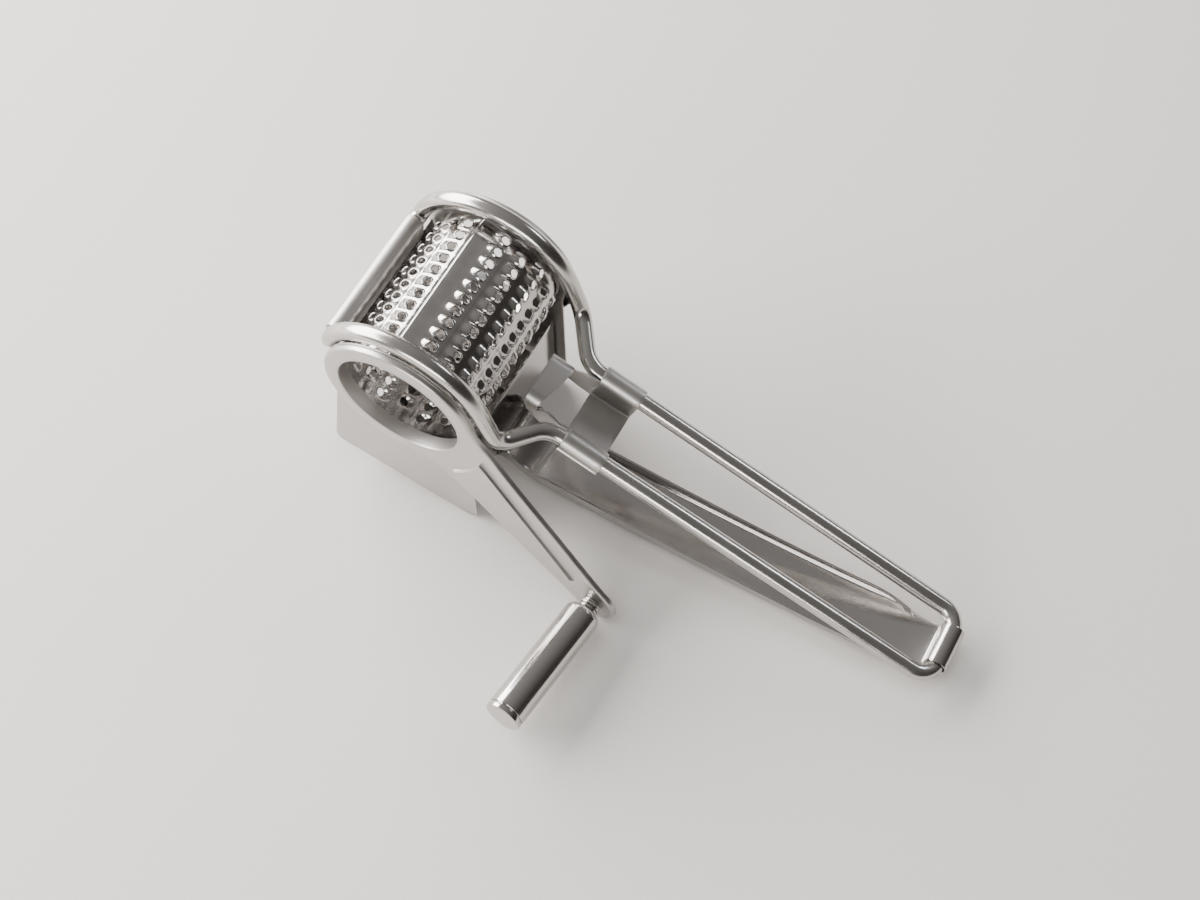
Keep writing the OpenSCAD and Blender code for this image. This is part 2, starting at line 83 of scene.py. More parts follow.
tail_way = Vector((sin(HOOP_TAIL), 0, -cos(HOOP_TAIL)))
tail_start = Vector((HOOP_R * cos(HOOP_TAIL), -HOOP_Y, HOOP_R * sin(HOOP_TAIL)))
shoulder = tail_start + tail_way * TAIL_DROP / cos(HOOP_TAIL)
neck = Vector((45.4, -13.6, -2))
loop_corner = Vector((neck.x + cos(ROD_SLOPE) * ROD_LENGTH, -13,
                      neck.z - sin(ROD_SLOPE) * ROD_LENGTH))
rod_way = (loop_corner - neck).normalized()
butt = neck + rod_way * (SLEEVE_FROM + SLEEVE_LENGTH / 2)
bar_front = Vector((cos(HOOP_FRONT), 0, sin(HOOP_FRONT))) * HOOP_R
bar_way = Vector((-sin(HOOP_FRONT), 0, cos(HOOP_FRONT)))
bar = bar_front + bar_way * BAR_DROP


def rounded(points, radii, step=0.7):
    """The line through the points with each inner corner rounded to its radius."""
    line = [points[0]]
    for before, corner, after, radius in zip(points, points[1:], points[2:], radii):
        way_in, way_out = (corner - before).normalized(), (after - corner).normalized()
        turn = way_in.angle(way_out)
        start = corner - way_in * radius * tan(turn / 2)
        side = (way_out - way_in * way_in.dot(way_out)).normalized()
        count = max(3, ceil(radius * turn / step))
        for i in range(count + 1):
            a = turn * i / count
            line.append(start + way_in * radius * sin(a) + side * radius * (1 - cos(a)))
    return line + [points[-1]]


def mirrored(line):
    """A half line followed by its mirror image on the far side."""
    return line + [Vector((p.x, -p.y, p.z)) for p in reversed(line) if abs(p.y) > 1e-6]


def drawn_wire(path, radius, segments=40, step=3.0):
    """A round wire along the path, cut square at both ends; the UV map is its length and girth in mm."""
    line = [path[0]]
    for point in path[1:]:
        gap = (point - line[-1]).length
        if gap < 1e-4:
            continue
        count = max(1, int(gap / step))
        start = line[-1]
        line += [start.lerp(point, (i + 1) / count) for i in range(count)]
    bm = bmesh.new()
    uv = bm.loops.layers.uv.new("grain")
    rings, at, normal, before = [], 0.0, None, None
    for i, point in enumerate(line):
        way = (line[min(i + 1, len(line) - 1)] - line[max(i - 1, 0)]).normalized()
        if normal is None:
            normal = way.orthogonal().normalized()
        else:
            normal = before.rotation_difference(way) @ normal
            at += (point - line[i - 1]).length
        before = way
        side = way.cross(normal)
        ring = [bm.verts.new(point + radius * (cos(2 * pi * k / segments) * normal
                                               + sin(2 * pi * k / segments) * side))
                for k in range(segments)]
        rings.append((ring, at))
    for (a, at_a), (b, at_b) in zip(rings, rings[1:]):
        for k in range(segments):
            n = (k + 1) % segments
            face = bm.faces.new((a[k], a[n], b[n], b[k]))
            girth = 2 * pi * radius / segments
            for loop, spot in zip(face.loops, ((at_a, k), (at_a, k + 1), (at_b, k + 1), (at_b, k))):
                loop[uv].uv = (spot[0], spot[1] * girth)
    bm.faces.new(reversed(rings[0][0]))
    bm.faces.new(rings[-1][0])
    return bm


def fitted(name, bm, seat, metal, body, slot, *nodes, sharp=32):
    """Makes the piece from its mesh, seats it, and ties it to its body and CAD nodes; the slot is not
    used.
    """
    bmesh.ops.recalc_face_normals(bm, faces=bm.faces)
    mesh = bpy.data.meshes.new(name)
    bm.to_mesh(mesh)
    bm.free()
    mesh.transform(seat)
    mesh.shade_smooth()
    mesh.set_sharp_from_angle(angle=radians(sharp))
    mesh.materials.append(metal)
    piece = bpy.data.objects.new(name, mesh)
    bpy.context.scene.collection.objects.link(piece)
    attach(piece, body)
    if nodes:
        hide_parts(*nodes)
    return piece


def linear(code):
    """An sRGB hex colour as the linear values that shaders work in."""
    parts = [int(code[i:i + 2], 16) / 255 for i in (0, 2, 4)]
    return tuple(c / 12.92 if c <= 0.04045 else ((c + 0.055) / 1.055) ** 2.4
                 for c in parts) + (1.0,)


def add(tree, kind, links=None, values=None, **settings):
    """Adds one node: settings are its options, values fill sockets, links feed sockets."""
    node = tree.nodes.new(kind)
    for key, value in settings.items():
        setattr(node, key, value)
    for key, value in (values or {}).items():
        node.inputs[key].default_value = value
    for key, output in (links or {}).items():
        tree.links.new(output, node.inputs[key])
    return node


def blank_metal(name):
    """A new material with only its output node."""
    metal = bpy.data.materials.new(name)
    metal.use_nodes = True
    metal.node_tree.nodes.clear()
    return metal, metal.node_tree, metal.node_tree.nodes.new("ShaderNodeOutputMaterial")


# Stainless wire, drawn and then tumble polished: near-mirror with faint draw lines along it
# and a slight haze where it is handled.
polished_wire, tree, out = blank_metal("stainless_wire_drawn_polished")
grain = add(tree, "ShaderNodeUVMap", uv_map="grain")
stretch = add(tree, "ShaderNodeMapping", {"Vector": grain.outputs["UV"]},
              {"Scale": (0.03, 0.9, 1)})
lines = add(tree, "ShaderNodeTexNoise", {"Vector": stretch.outputs["Vector"]},
            {"Scale": 1.3, "Detail": 2.0, "Roughness": 0.5})
place = add(tree, "ShaderNodeTexCoord")
haze = add(tree, "ShaderNodeTexNoise", {"Vector": place.outputs["Object"]},
           {"Scale": 70.0, "Detail": 4.0, "Roughness": 0.55})
rough = add(tree, "ShaderNodeMapRange", {"Value": haze.outputs["Fac"]},
            {"From Min": 0.3, "From Max": 0.75, "To Min": 0.17, "To Max": 0.28})
tone = add(tree, "ShaderNodeMix", {0: haze.outputs["Fac"]},
           {6: linear("B9B6B3"), 7: linear("C8C5C2")}, data_type="RGBA")
relief = add(tree, "ShaderNodeBump", {"Height": lines.outputs["Fac"]},
             {"Strength": 0.12, "Distance": 0.00004})
shader = add(tree, "ShaderNodeBsdfPrincipled",
             {"Base Color": tone.outputs[2], "Roughness": rough.outputs["Result"],
              "Normal": relief.outputs["Normal"]}, {"Metallic": 1.0})
tree.links.new(shader.outputs["BSDF"], out.inputs["Surface"])

arc_steps = 64
hoop_side = rounded([butt, neck, shoulder, tail_start], [NECK_BEND, SHOULDER_BEND])[:-1]
hoop_side += [Vector((HOOP_R * cos(a), -HOOP_Y, HOOP_R * sin(a)))
              for a in (HOOP_TAIL + (HOOP_FRONT - HOOP_TAIL) * i / arc_steps
                        for i in range(arc_steps + 1))]
front_corner = Vector((bar.x, -HOOP_Y, bar.z))
hoop_side += rounded([hoop_side[-1], front_corner, Vector((bar.x, 0, bar.z))],
                     [FRONT_BEND])[1:]
fitted("wire_hoop", drawn_wire(mirrored(hoop_side), WIRE_R), on_frame, polished_wire,
       "frame", "polished_wire", "drum_hoop")

# ---------------------------------------------------------------------------------------------
# Handle loop. A second length of the same wire, bent into a long narrow U. Its open ends meet
# the hoop's tails inside the sleeves; the closed end is the hanging loop and the lever's pivot.
loop_side = rounded([butt, loop_corner, Vector((loop_corner.x, 0, loop_corner.z))], [LOOP_BEND])
fitted("wire_handle", drawn_wire(mirrored(loop_side), WIRE_R), on_frame, polished_wire,
       "frame", "polished_wire", "handle_loop")

# ---------------------------------------------------------------------------------------------
# Neck bracket. One stamping of 0.8 mm satin sheet: it is rolled over both wires as two sleeves,
# hangs between them as a shallow channel, and reaches forward as an arched tongue.
BRACKET_T = 0.8
ROD_Y = 13.55
FLOOR_DROP = 9.2
FLOOR_BEND = 1.3
SLEEVE_LIP = radians(-48)
sleeve_start = neck + rod_way * SLEEVE_FROM
on_neck = (on_frame @ Matrix.Translation((sleeve_start.x, 0, sleeve_start.z))
           @ Matrix.Rotation(ROD_SLOPE, 4, "Y"))


def ruled_sheet(rows):
    """A skin over rows of points, one row after the other; the UV map is its flat size in mm."""
    bm = bmesh.new()
    uv = bm.loops.layers.uv.new("grain")
    made = [[bm.verts.new(p) for p in row] for row in rows]
    along = [0.0]
    for a, b in zip(rows, rows[1:]):
        along.append(along[-1] + (b[len(b) // 2] - a[len(a) // 2]).length)
    across = []
    for row in rows:
        marks = [0.0]
        for p, q in zip(row, row[1:]):
            marks.append(marks[-1] + (q - p).length)
        across.append([m - marks[-1] / 2 for m in marks])
    for i in range(len(rows) - 1):
        for k in range(len(rows[0]) - 1):
            corners = ((i, k), (i, k + 1), (i + 1, k + 1), (i + 1, k))
            face = bm.faces.new([made[r][c] for r, c in corners])
            for loop, (r, c) in zip(face.loops, corners):
                loop[uv].uv = (along[r], across[r][c])
    return bm


def thickened(piece, thickness, offset=0.0, edge=0.12):
    """Gives a sheet its gauge and breaks its cut edges."""
    gauge = piece.modifiers.new("gauge", "SOLIDIFY")
    gauge.thickness, gauge.offset = thickness * 0.001, offset
    gauge.use_even_offset = True
    if edge:
        broken = piece.modifiers.new("edge", "BEVEL")
        broken.width, broken.segments = edge * 0.001, 2
        broken.limit_method, broken.angle_limit = "ANGLE", radians(50)
    return piece


# Stainless sheet with a satin finish: soft, slightly milky reflections, fine roll lines and a
# few paler rubbed patches.
satin_sheet, tree, out = blank_metal("stainless_sheet_satin")
grain = add(tree, "ShaderNodeUVMap", uv_map="grain")
stretch = add(tree, "ShaderNodeMapping", {"Vector": grain.outputs["UV"]},
              {"Scale": (0.03, 0.9, 1)})
lines = add(tree, "ShaderNodeTexNoise", {"Vector": stretch.outputs["Vector"]},
            {"Scale": 1.3, "Detail": 2.0, "Roughness": 0.5})
place = add(tree, "ShaderNodeTexCoord")
rub = add(tree, "ShaderNodeTexNoise", {"Vector": place.outputs["Object"]},
          {"Scale": 45.0, "Detail": 5.0, "Roughness": 0.6})
rough = add(tree, "ShaderNodeMapRange", {"Value": rub.outputs["Fac"]},
            {"From Min": 0.3, "From Max": 0.75, "To Min": 0.36, "To Max": 0.48})
tone = add(tree, "ShaderNodeMix", {0: rub.outputs["Fac"]},
           {6: linear("B4B1AE"), 7: linear("C4C1BE")}, data_type="RGBA")
relief = add(tree, "ShaderNodeBump", {"Height": lines.outputs["Fac"]},
             {"Strength": 0.2, "Distance": 0.00004})
shader = add(tree, "ShaderNodeBsdfPrincipled",
             {"Base Color": tone.outputs[2], "Roughness": rough.outputs["Result"],
              "Normal": relief.outputs["Normal"]}, {"Metallic": 1.0})
tree.links.new(shader.outputs["BSDF"], out.inputs["Surface"])

sleeve_r = WIRE_R + BRACKET_T / 2
lip_at = Vector((0, ROD_Y + sleeve_r * cos(SLEEVE_LIP), sleeve_r * sin(SLEEVE_LIP)))
half_channel = [lip_at + Vector((0, 1.0, -0.8)), lip_at + Vector((0, 0.25, -0.2))]
half_channel += [Vector((0, ROD_Y + sleeve_r * cos(radians(a)), sleeve_r * sin(radians(a))))
                 for a in range(-40, 181, 11)]
inner_y = ROD_Y - sleeve_r
half_channel = half_channel[:-1] + rounded(
    [half_channel[-1], Vector((0, inner_y, -FLOOR_DROP)), Vector((0, 0, -FLOOR_DROP))],
    [FLOOR_BEND], 0.4)
channel = [Vector((p.x, -p.y, p.z)) for p in half_channel] + list(reversed(half_channel))[1:]
channel_rows = [[p + Vector((SLEEVE_LENGTH * i / 8, 0, 0)) for p in channel] for i in range(9)]
thickened(fitted("bracket_sleeves", ruled_sheet(channel_rows), on_neck, satin_sheet, "frame",
                 "satin_sheet", "neck_bracket"), BRACKET_T)

# The tongue: a flat arch whose legs run back and down to the channel's side walls.
ARCH_Y, ARCH_TOP, ARCH_R = 9.75, 2.6, 3.8
ARCH_FOOT = -1.6
arch = rounded([Vector((0, -ARCH_Y, ARCH_FOOT)), Vector((0, -ARCH_Y, ARCH_TOP)),
                Vector((0, ARCH_Y, ARCH_TOP)), Vector((0, ARCH_Y, ARCH_FOOT))],
               [ARCH_R, ARCH_R], 0.5)


def tongue_edges(p):
    """Front and back edge of the tongue at one point of its arch; the near half is cut askew."""
    fall = (ARCH_TOP - p.z) / (ARCH_TOP - ARCH_FOOT)
    askew = min(max((p.y + ARCH_Y) / (1.22 * ARCH_Y), 0), 1)
    return -18.1 + 0.6 * fall * fall, -13.4 + 4.2 * askew + (0.9 if p.y < 0 else -0.6) * fall


tongue_rows = []
for i in range(15):
    t = i / 14
    tongue_rows.append([Vector((tongue_edges(p)[0] * (1 - t) + tongue_edges(p)[1] * t, p.y, p.z))
                        for p in arch])
thickened(fitted("bracket_tongue", ruled_sheet(tongue_rows), on_neck, satin_sheet, "frame",
                 "satin_sheet"), BRACKET_T)


def inside(p, loop):
    """Whether a flat point lies inside the closed line."""
    odd = False
    for a, b in zip(loop, loop[1:] + loop[:1]):
        if (a[1] > p[1]) != (b[1] > p[1]):
            if p[0] < (b[0] - a[0]) * (p[1] - a[1]) / (b[1] - a[1]) + a[0]:
                odd = not odd
    return odd


def cut_sheet(outline, holes=(), lines=(), spacing=2.0, shape=None):
    """Cuts a flat blank: triangles fill the outline, keep clear of holes and follow the lines."""
    points, edges = [], []
    for loop, closed in [(outline, True)] + [(h, True) for h in holes] + [(l, False) for l in lines]:
        first = len(points)
        points += [Vector(p) for p in loop]
        count = len(loop)
        edges += [(first + k, first + (k + 1) % count) for k in range(count if closed else count - 1)]
    low = [min(p[i] for p in outline) for i in (0, 1)]
    high = [max(p[i] for p in outline) for i in (0, 1)]
    fixed = list(points)
    for i in range(int((high[0] - low[0]) / spacing) + 2):
        for k in range(int((high[1] - low[1]) / spacing) + 2):
            p = Vector((low[0] + (i + 0.5 * (k % 2)) * spacing, low[1] + k * spacing * 0.87))
            if inside(p, outline) and min((p - q).length for q in fixed) > 0.45 * spacing:
                points.append(p)
    made, _, tris, *_ = delaunay_2d_cdt(points, edges, [], 0, 1e-5)
    bm = bmesh.new()
    uv = bm.loops.layers.uv.new("grain")
    verts = [bm.verts.new(shape(p) if shape else (p[0], p[1], 0)) for p in made]
    for tri in tris:
        mid = sum((made[t] for t in tri), Vector((0, 0))) / 3
        if inside(mid, outline) and not any(inside(mid, h) for h in holes):
            face = bm.faces.new([verts[t] for t in tri])
            for loop, t in zip(face.loops, tri):
                loop[uv].uv = made[t]
    loose = [v for v in bm.verts if not v.link_faces]
    bmesh.ops.delete(bm, geom=loose, context="VERTS")
    return bm


leg_foot = [(-17.5, -1.6), (-16.0, -3.9), (-13.9, -5.9), (-9.0, -8.6), (-5, -9.4), (0.2, -9.6)]
near_leg = leg_foot + [(0.2, -1.6), (-3.7, -0.7), (-7.0, 1.0), (-9.8, 2.0), (-11.2, 1.0),
                       (-12.4, -1.6)]
far_leg = leg_foot + [(0.2, 2.2), (-2.4, 2.4), (-4.4, 1.9), (-6.6, 0.7), (-8.2, -0.5),
                      (-9.8, -1.6)]
for side, name, outline in ((-1, "bracket_leg_near", near_leg), (1, "bracket_leg_far", far_leg)):
    leg = cut_sheet(outline, shape=lambda p: (p[0], side * ARCH_Y, p[1]), spacing=1.6)
    thickened(fitted(name, leg, on_neck, satin_sheet, "frame", "satin_sheet"), BRACKET_T)

# ---------------------------------------------------------------------------------------------
# Cheeks. Two 0.7 mm blanks of satin stainless, with a round top bored for the drum and a
# straight hopper below; each is spot welded along the front wall's turned-back edge.
SHEET_T = 0.7
CHEEK_Y = 31.85
HOPPER_DEPTH = 62
DRUM_R = 23.2
DRUM_FIT = 0.12
CHEEK_R = 28.6
HOPPER_FRONT, HOPPER_BACK, HOPPER_FOOT = 24.5, 25.4, 34.4
FOOT_R = 4


def arc(centre, radius, start, end, step=4.0):
    """Points of a flat arc, angles in degrees."""
    count = max(2, ceil(abs(end - start) / step))
    return [(centre[0] + radius * cos(radians(start + (end - start) * i / count)),
             centre[1] + radius * sin(radians(start + (end - start) * i / count)))
            for i in range(count + 1)]


top_front = 180 + atan2(14.75, HOPPER_FRONT) * 180 / pi
top_back = 27.4 - atan2(7.4, HOPPER_BACK) * 180 / pi
foot_z = FOOT_R - HOPPER_DEPTH
cheek_outline = arc((0, 0), CHEEK_R, top_front, top_back, 3)
cheek_outline += [(HOPPER_BACK, 11), (HOPPER_BACK, 0), (HOPPER_BACK, -7.4)]
cheek_outline += arc((HOPPER_FOOT - FOOT_R, foot_z), FOOT_R, 8, -90, 10)
cheek_outline += arc((FOOT_R - HOPPER_FRONT, foot_z), FOOT_R, 270, 180, 10)
cheek_outline = list(reversed(cheek_outline))
bore = arc((0, 0), DRUM_R + DRUM_FIT, 0, 356, 4)
for side, name, node in ((-1, "cheek_plate_near", "cheek_near"),
                         (1, "cheek_plate_far", "cheek_far")):
    plate = cut_sheet(cheek_outline, [bore], spacing=3.2,
                      shape=lambda p: (p[0], side * (CHEEK_Y + SHEET_T / 2), p[1]))
    thickened(fitted(name, plate, on_frame, satin_sheet, "frame", "satin_sheet", node), SHEET_T)

# ---------------------------------------------------------------------------------------------
# Front wall. Satin sheet rolled tightly round the hoop's front bar and dropped straight down as
# the hopper's front; its side edges turn back against the cheeks.
roll_r = WIRE_R + SHEET_T / 2
wall_x = bar.x + roll_r
wall_line = [Vector((bar.x + roll_r * cos(radians(a)), 0, bar.z + roll_r * sin(radians(a))))
             for a in range(300, 0, -9)]
wall_foot = rounded([Vector((wall_x, 0, bar.z)), Vector((wall_x, 0, -2)), Vector((-24.15, 0, -16)),
                     Vector((-24.15, 0, -HOPPER_DEPTH + 4))], [10, 10], 1.2)
ROLL_HALF = 24.75
roll_rows = [[Vector((p.x, ROLL_HALF * k / 6, p.z)) for k in range(-6, 7)]
             for p in wall_line + wall_foot[:2]]
thickened(fitted("front_roll", ruled_sheet(roll_rows), on_frame, satin_sheet, "frame",
                 "satin_sheet", "front_wall"), SHEET_T)

# Stainless sheet, bright rolled: the same metal before satin finishing, so it mirrors the teeth
# and the wires beside it, with faint smears.
polished_sheet, tree, out = blank_metal("stainless_sheet_bright_rolled")
grain = add(tree, "ShaderNodeUVMap", uv_map="grain")
stretch = add(tree, "ShaderNodeMapping", {"Vector": grain.outputs["UV"]},
              {"Scale": (0.03, 0.9, 1)})
lines = add(tree, "ShaderNodeTexNoise", {"Vector": stretch.outputs["Vector"]},
            {"Scale": 1.3, "Detail": 2.0, "Roughness": 0.5})
place = add(tree, "ShaderNodeTexCoord")
smear = add(tree, "ShaderNodeTexNoise", {"Vector": place.outputs["Object"]},
            {"Scale": 38.0, "Detail": 5.0, "Roughness": 0.6, "Distortion": 0.6})
rough = add(tree, "ShaderNodeMapRange", {"Value": smear.outputs["Fac"]},
            {"From Min": 0.3, "From Max": 0.75, "To Min": 0.08, "To Max": 0.2})
tone = add(tree, "ShaderNodeMix", {0: smear.outputs["Fac"]},
           {6: linear("AEABA9"), 7: linear("BDBAB8")}, data_type="RGBA")
relief = add(tree, "ShaderNodeBump", {"Height": lines.outputs["Fac"]},
             {"Strength": 0.12, "Distance": 0.00004})
shader = add(tree, "ShaderNodeBsdfPrincipled",
             {"Base Color": tone.outputs[2], "Roughness": rough.outputs["Result"],
              "Normal": relief.outputs["Normal"]}, {"Metallic": 1.0})
tree.links.new(shader.outputs["BSDF"], out.inputs["Surface"])

FLANGE = 5
EDGE_BEND = 0.8
FLANGE_FROM = -16
wall_half = CHEEK_Y - SHEET_T / 2 - 0.1
wall_rows = []
for p in wall_foot[1:]:
    reach = FLANGE if p.z < FLANGE_FROM else 0.0
    bend_x = p.x + (EDGE_BEND if reach else 0.0)
    row = [Vector((p.x + reach, -wall_half, p.z)), Vector((bend_x, -wall_half, p.z)),
           Vector((p.x, -wall_half + EDGE_BEND, p.z))]
    row += [Vector((p.x, (wall_half - EDGE_BEND) * k / 6, p.z)) for k in range(-5, 6)]
    row += [Vector((v.x, -v.y, v.z)) for v in reversed(row[:3])]
    wall_rows.append(row)
thickened(fitted("front_panel", ruled_sheet(wall_rows), on_frame, polished_sheet, "frame",
                 "polished_sheet"), SHEET_T)

# ---------------------------------------------------------------------------------------------
# Drum. A strip of thin bright sheet punched with 17 staggered rows of hooded teeth, rolled into
# a tube and spot welded along a plain lap. Each tooth is a hood pushed out over a round hole,
# its mouth facing the handle.
TOOTH_PITCH = 5.1
ROW_PITCH = 8.2
ROWS = 17
HOLE_R = 1.55
HOOD_H = 1.35
HOOD_HALF = 2.3
HOOD_FRONT, MOUTH = 3.6, 2.3
HOOD_SHIFT = 0.7
SKIN_T = 0.45
FIRST_ROW = 10.7
SEAM_ANGLE = radians(109)
LAP_STEP = 0.6
LAP_WIDTH = 5.5
DRUM_END = 34.6
girth = 2 * pi * DRUM_R


def hood(s, y):
    """Height of a tooth over the drum: s runs back from its hole, y along the drum."""
    ahead = (-s - HOOD_SHIFT) / (HOOD_FRONT if -s > HOOD_SHIFT else -MOUTH)
    dome = max(0.0, 1 - ahead ** 1.35 - abs(y / HOOD_HALF) ** 3.2)
    swell = 0.14 * exp(-(s * s + y * y) / 6.0)
    return HOOD_H * dome + swell


def lap(s):
    """Rise of the overlapping sheet edge over the drum's own radius."""
    s = (s + girth / 2) % girth - girth / 2
    return LAP_STEP * (0.5 + 0.5 * cos(pi * s / LAP_WIDTH)) if 0 <= s < LAP_WIDTH else 0.0


def round_drum(s, y, h):
    """The point on the drum at s behind the seam and y along it, raised by h."""
    a = SEAM_ANGLE - s / DRUM_R
    r = DRUM_R + h + lap(s)
    return Vector((r * cos(a), y, r * sin(a)))


bm = bmesh.new()
uv = bm.loops.layers.uv.new("grain")


def face_of(points):
    """Adds a drum face from its flat points (s, y, height)."""
    face = bm.faces.new([bm.verts.new(round_drum(*p)) for p in points])
    for loop, p in zip(face.loops, points):
        loop[uv].uv = (p[0], p[1])


def plain_patch(s0, s1, y0, y1, ns, ny):
    """Adds an unpunched part of the drum as a grid of faces."""
    for i in range(ns):
        for k in range(ny):
            a0, a1 = s0 + (s1 - s0) * i / ns, s0 + (s1 - s0) * (i + 1) / ns
            b0, b1 = y0 + (y1 - y0) * k / ny, y0 + (y1 - y0) * (k + 1) / ny
            face_of([(a0, b0, 0), (a1, b0, 0), (a1, b1, 0), (a0, b1, 0)])


BACK, FRONT = 3.0, -5.2
border = [(BACK, TOOTH_PITCH * (k / 6 - 0.5)) for k in range(6)]
border += [(BACK + (FRONT - BACK) * k / 8, TOOTH_PITCH / 2) for k in range(8)]
border += [(FRONT, TOOTH_PITCH * (0.5 - k / 6)) for k in range(6)]
border += [(FRONT + (BACK - FRONT) * k / 8, -TOOTH_PITCH / 2) for k in range(8)]
rings = []
for share in (0, 0.1, 0.22, 0.36, 0.52, 0.7, 0.86, 1):
    ring = []
    for s, y in border:
        reach = hypot(s, y)
        rim = (HOLE_R * s / reach, HOLE_R * y / reach)
        spot = (rim[0] + (s - rim[0]) * share, rim[1] + (y - rim[1]) * share)
        ring.append((spot[0], spot[1], 0.0 if share == 1 else hood(*spot)))
    rings.append(ring)

for row in range(ROWS):
    hole_at = FIRST_ROW + ROW_PITCH * row
    count = 10 if row % 2 else 11
    for k in range(count):
        y_at = (k - (count - 1) / 2) * TOOTH_PITCH
        for inner, outer in zip(rings, rings[1:]):
            for m in range(len(border)):
                n = (m + 1) % len(border)
                quad = (inner[m], outer[m], outer[n], inner[n])
                face_of([(hole_at + p[0], y_at + p[1], p[2]) for p in quad])
    edge = count * TOOTH_PITCH / 2
    wide = 11 * TOOTH_PITCH / 2
    for side in (-1, 1):
        if edge < wide:
            a, b = sorted((side * edge, side * wide))
            plain_patch(hole_at + FRONT, hole_at + BACK, a, b, 8, 3)
wide = 11 * TOOTH_PITCH / 2
total = ROWS * ROW_PITCH
for k in range(11):
    y0 = -wide + k * TOOTH_PITCH
    plain_patch(1e-4, LAP_WIDTH, y0, y0 + TOOTH_PITCH, 8, 6)
    plain_patch(LAP_WIDTH + total, girth, y0, y0 + TOOTH_PITCH, 1, 6)
for side in (-1, 1):
    a, b = sorted((side * wide, side * DRUM_END))
    plain_patch(1e-4, LAP_WIDTH, a, b, 8, 3)
    plain_patch(LAP_WIDTH, LAP_WIDTH + total, a, b, 8 * ROWS, 3)
    plain_patch(LAP_WIDTH + total, girth, a, b, 1, 3)
bmesh.ops.remove_doubles(bm, verts=bm.verts, dist=0.004)

# Thin stainless strip, cold rolled bright and then punched: mirror-like on the hoods, softly
# dimpled between them where the punch has pulled the metal.
drum_sheet, tree, out = blank_metal("stainless_strip_bright_punched")
grain = add(tree, "ShaderNodeUVMap", uv_map="grain")
stretch = add(tree, "ShaderNodeMapping", {"Vector": grain.outputs["UV"]},
              {"Scale": (1.4, 0.08, 1)})
lines = add(tree, "ShaderNodeTexNoise", {"Vector": stretch.outputs["Vector"]},
            {"Scale": 2.0, "Detail": 3.0, "Roughness": 0.6})
place = add(tree, "ShaderNodeTexCoord")
pull = add(tree, "ShaderNodeTexNoise", {"Vector": place.outputs["Object"]},
           {"Scale": 210.0, "Detail": 3.0, "Roughness": 0.5})
rough = add(tree, "ShaderNodeMapRange", {"Value": pull.outputs["Fac"]},
            {"From Min": 0.3, "From Max": 0.75, "To Min": 0.07, "To Max": 0.19})
tone = add(tree, "ShaderNodeMix", {0: pull.outputs["Fac"]},
           {6: linear("B5B2B0"), 7: linear("C6C3C1")}, data_type="RGBA")
dimple = add(tree, "ShaderNodeBump", {"Height": pull.outputs["Fac"]},
             {"Strength": 0.35, "Distance": 0.00025})
relief = add(tree, "ShaderNodeBump", {"Height": lines.outputs["Fac"],
                                      "Normal": dimple.outputs["Normal"]},
             {"Strength": 0.1, "Distance": 0.00004})
shader = add(tree, "ShaderNodeBsdfPrincipled",
             {"Base Color": tone.outputs[2], "Roughness": rough.outputs["Result"],
              "Normal": relief.outputs["Normal"]}, {"Metallic": 1.0})
tree.links.new(shader.outputs["BSDF"], out.inputs["Surface"])

thickened(fitted("drum_skin", bm, on_frame, drum_sheet, "drum", "drum_sheet", "drum_shell",
                 sharp=60), SKIN_T, offset=-1, edge=0)

# The cut edge of the lap, a thin bright step the length of the drum.
step_rows = [[round_drum(1e-4, -DRUM_END + 2 * DRUM_END * k / 40, h - LAP_STEP) for k in range(41)]
             for h in (0.0, 0.3, LAP_STEP)]
thickened(fitted("drum_lap_edge", ruled_sheet(step_rows), on_frame, drum_sheet, "drum",
                 "drum_sheet"), 0.12)


def lathed(profile, segments=96, axis="Y"):
    """A surface turned about the axis from (radius, distance along the axis) pairs."""
    bm = bmesh.new()
    uv = bm.loops.layers.uv.new("grain")
    marks = [0.0]
    for (r0, z0), (r1, z1) in zip(profile, profile[1:]):
        marks.append(marks[-1] + hypot(r1 - r0, z1 - z0))
    rows = []
    for r, z in profile:
        if r < 1e-6:
            rows.append([bm.verts.new((0, z, 0) if axis == "Y" else (0, 0, z))] * segments)
            continue
        row = []
        for k in range(segments):
            a = 2 * pi * k / segments
            row.append(bm.verts.new((r * cos(a), z, r * sin(a)) if axis == "Y"
                                    else (r * cos(a), r * sin(a), z)))
        rows.append(row)
    for i, (a, b) in enumerate(zip(rows, rows[1:])):
        turn = 2 * pi * max(profile[i][0], profile[i + 1][0]) / segments
        for k in range(segments):
            n = (k + 1) % segments
            corners = [(a[k], i, k), (a[n], i, k + 1), (b[n], i + 1, k + 1), (b[k], i + 1, k)]
            unique = []
            for c in corners:
                if c[0] not in [u[0] for u in unique]:
                    unique.append(c)
            face = bm.faces.new([c[0] for c in unique])
            for loop, c in zip(face.loops, unique):
                loop[uv].uv = (marks[c[1]], c[2] * turn)
    return bm


# The drum's two ends, beaded out over the rings that hold them.
bead = [(DRUM_R - 0.5, 5), (DRUM_R - 0.5, 0.5), (DRUM_R - 0.35, 0.1), (DRUM_R, -0.1),
        (DRUM_R + 0.4, -0.12), (DRUM_R + 0.8, 0.0), (DRUM_R + 0.95, 0.3)]
for side, name in ((-1, "drum_bead_near"), (1, "drum_bead_far")):
    start = -35 if side < 0 else 34.8
    fitted(name, lathed([(r, start - side * z) for r, z in bead]), on_frame, satin_sheet,
           "drum", "drum_sheet")

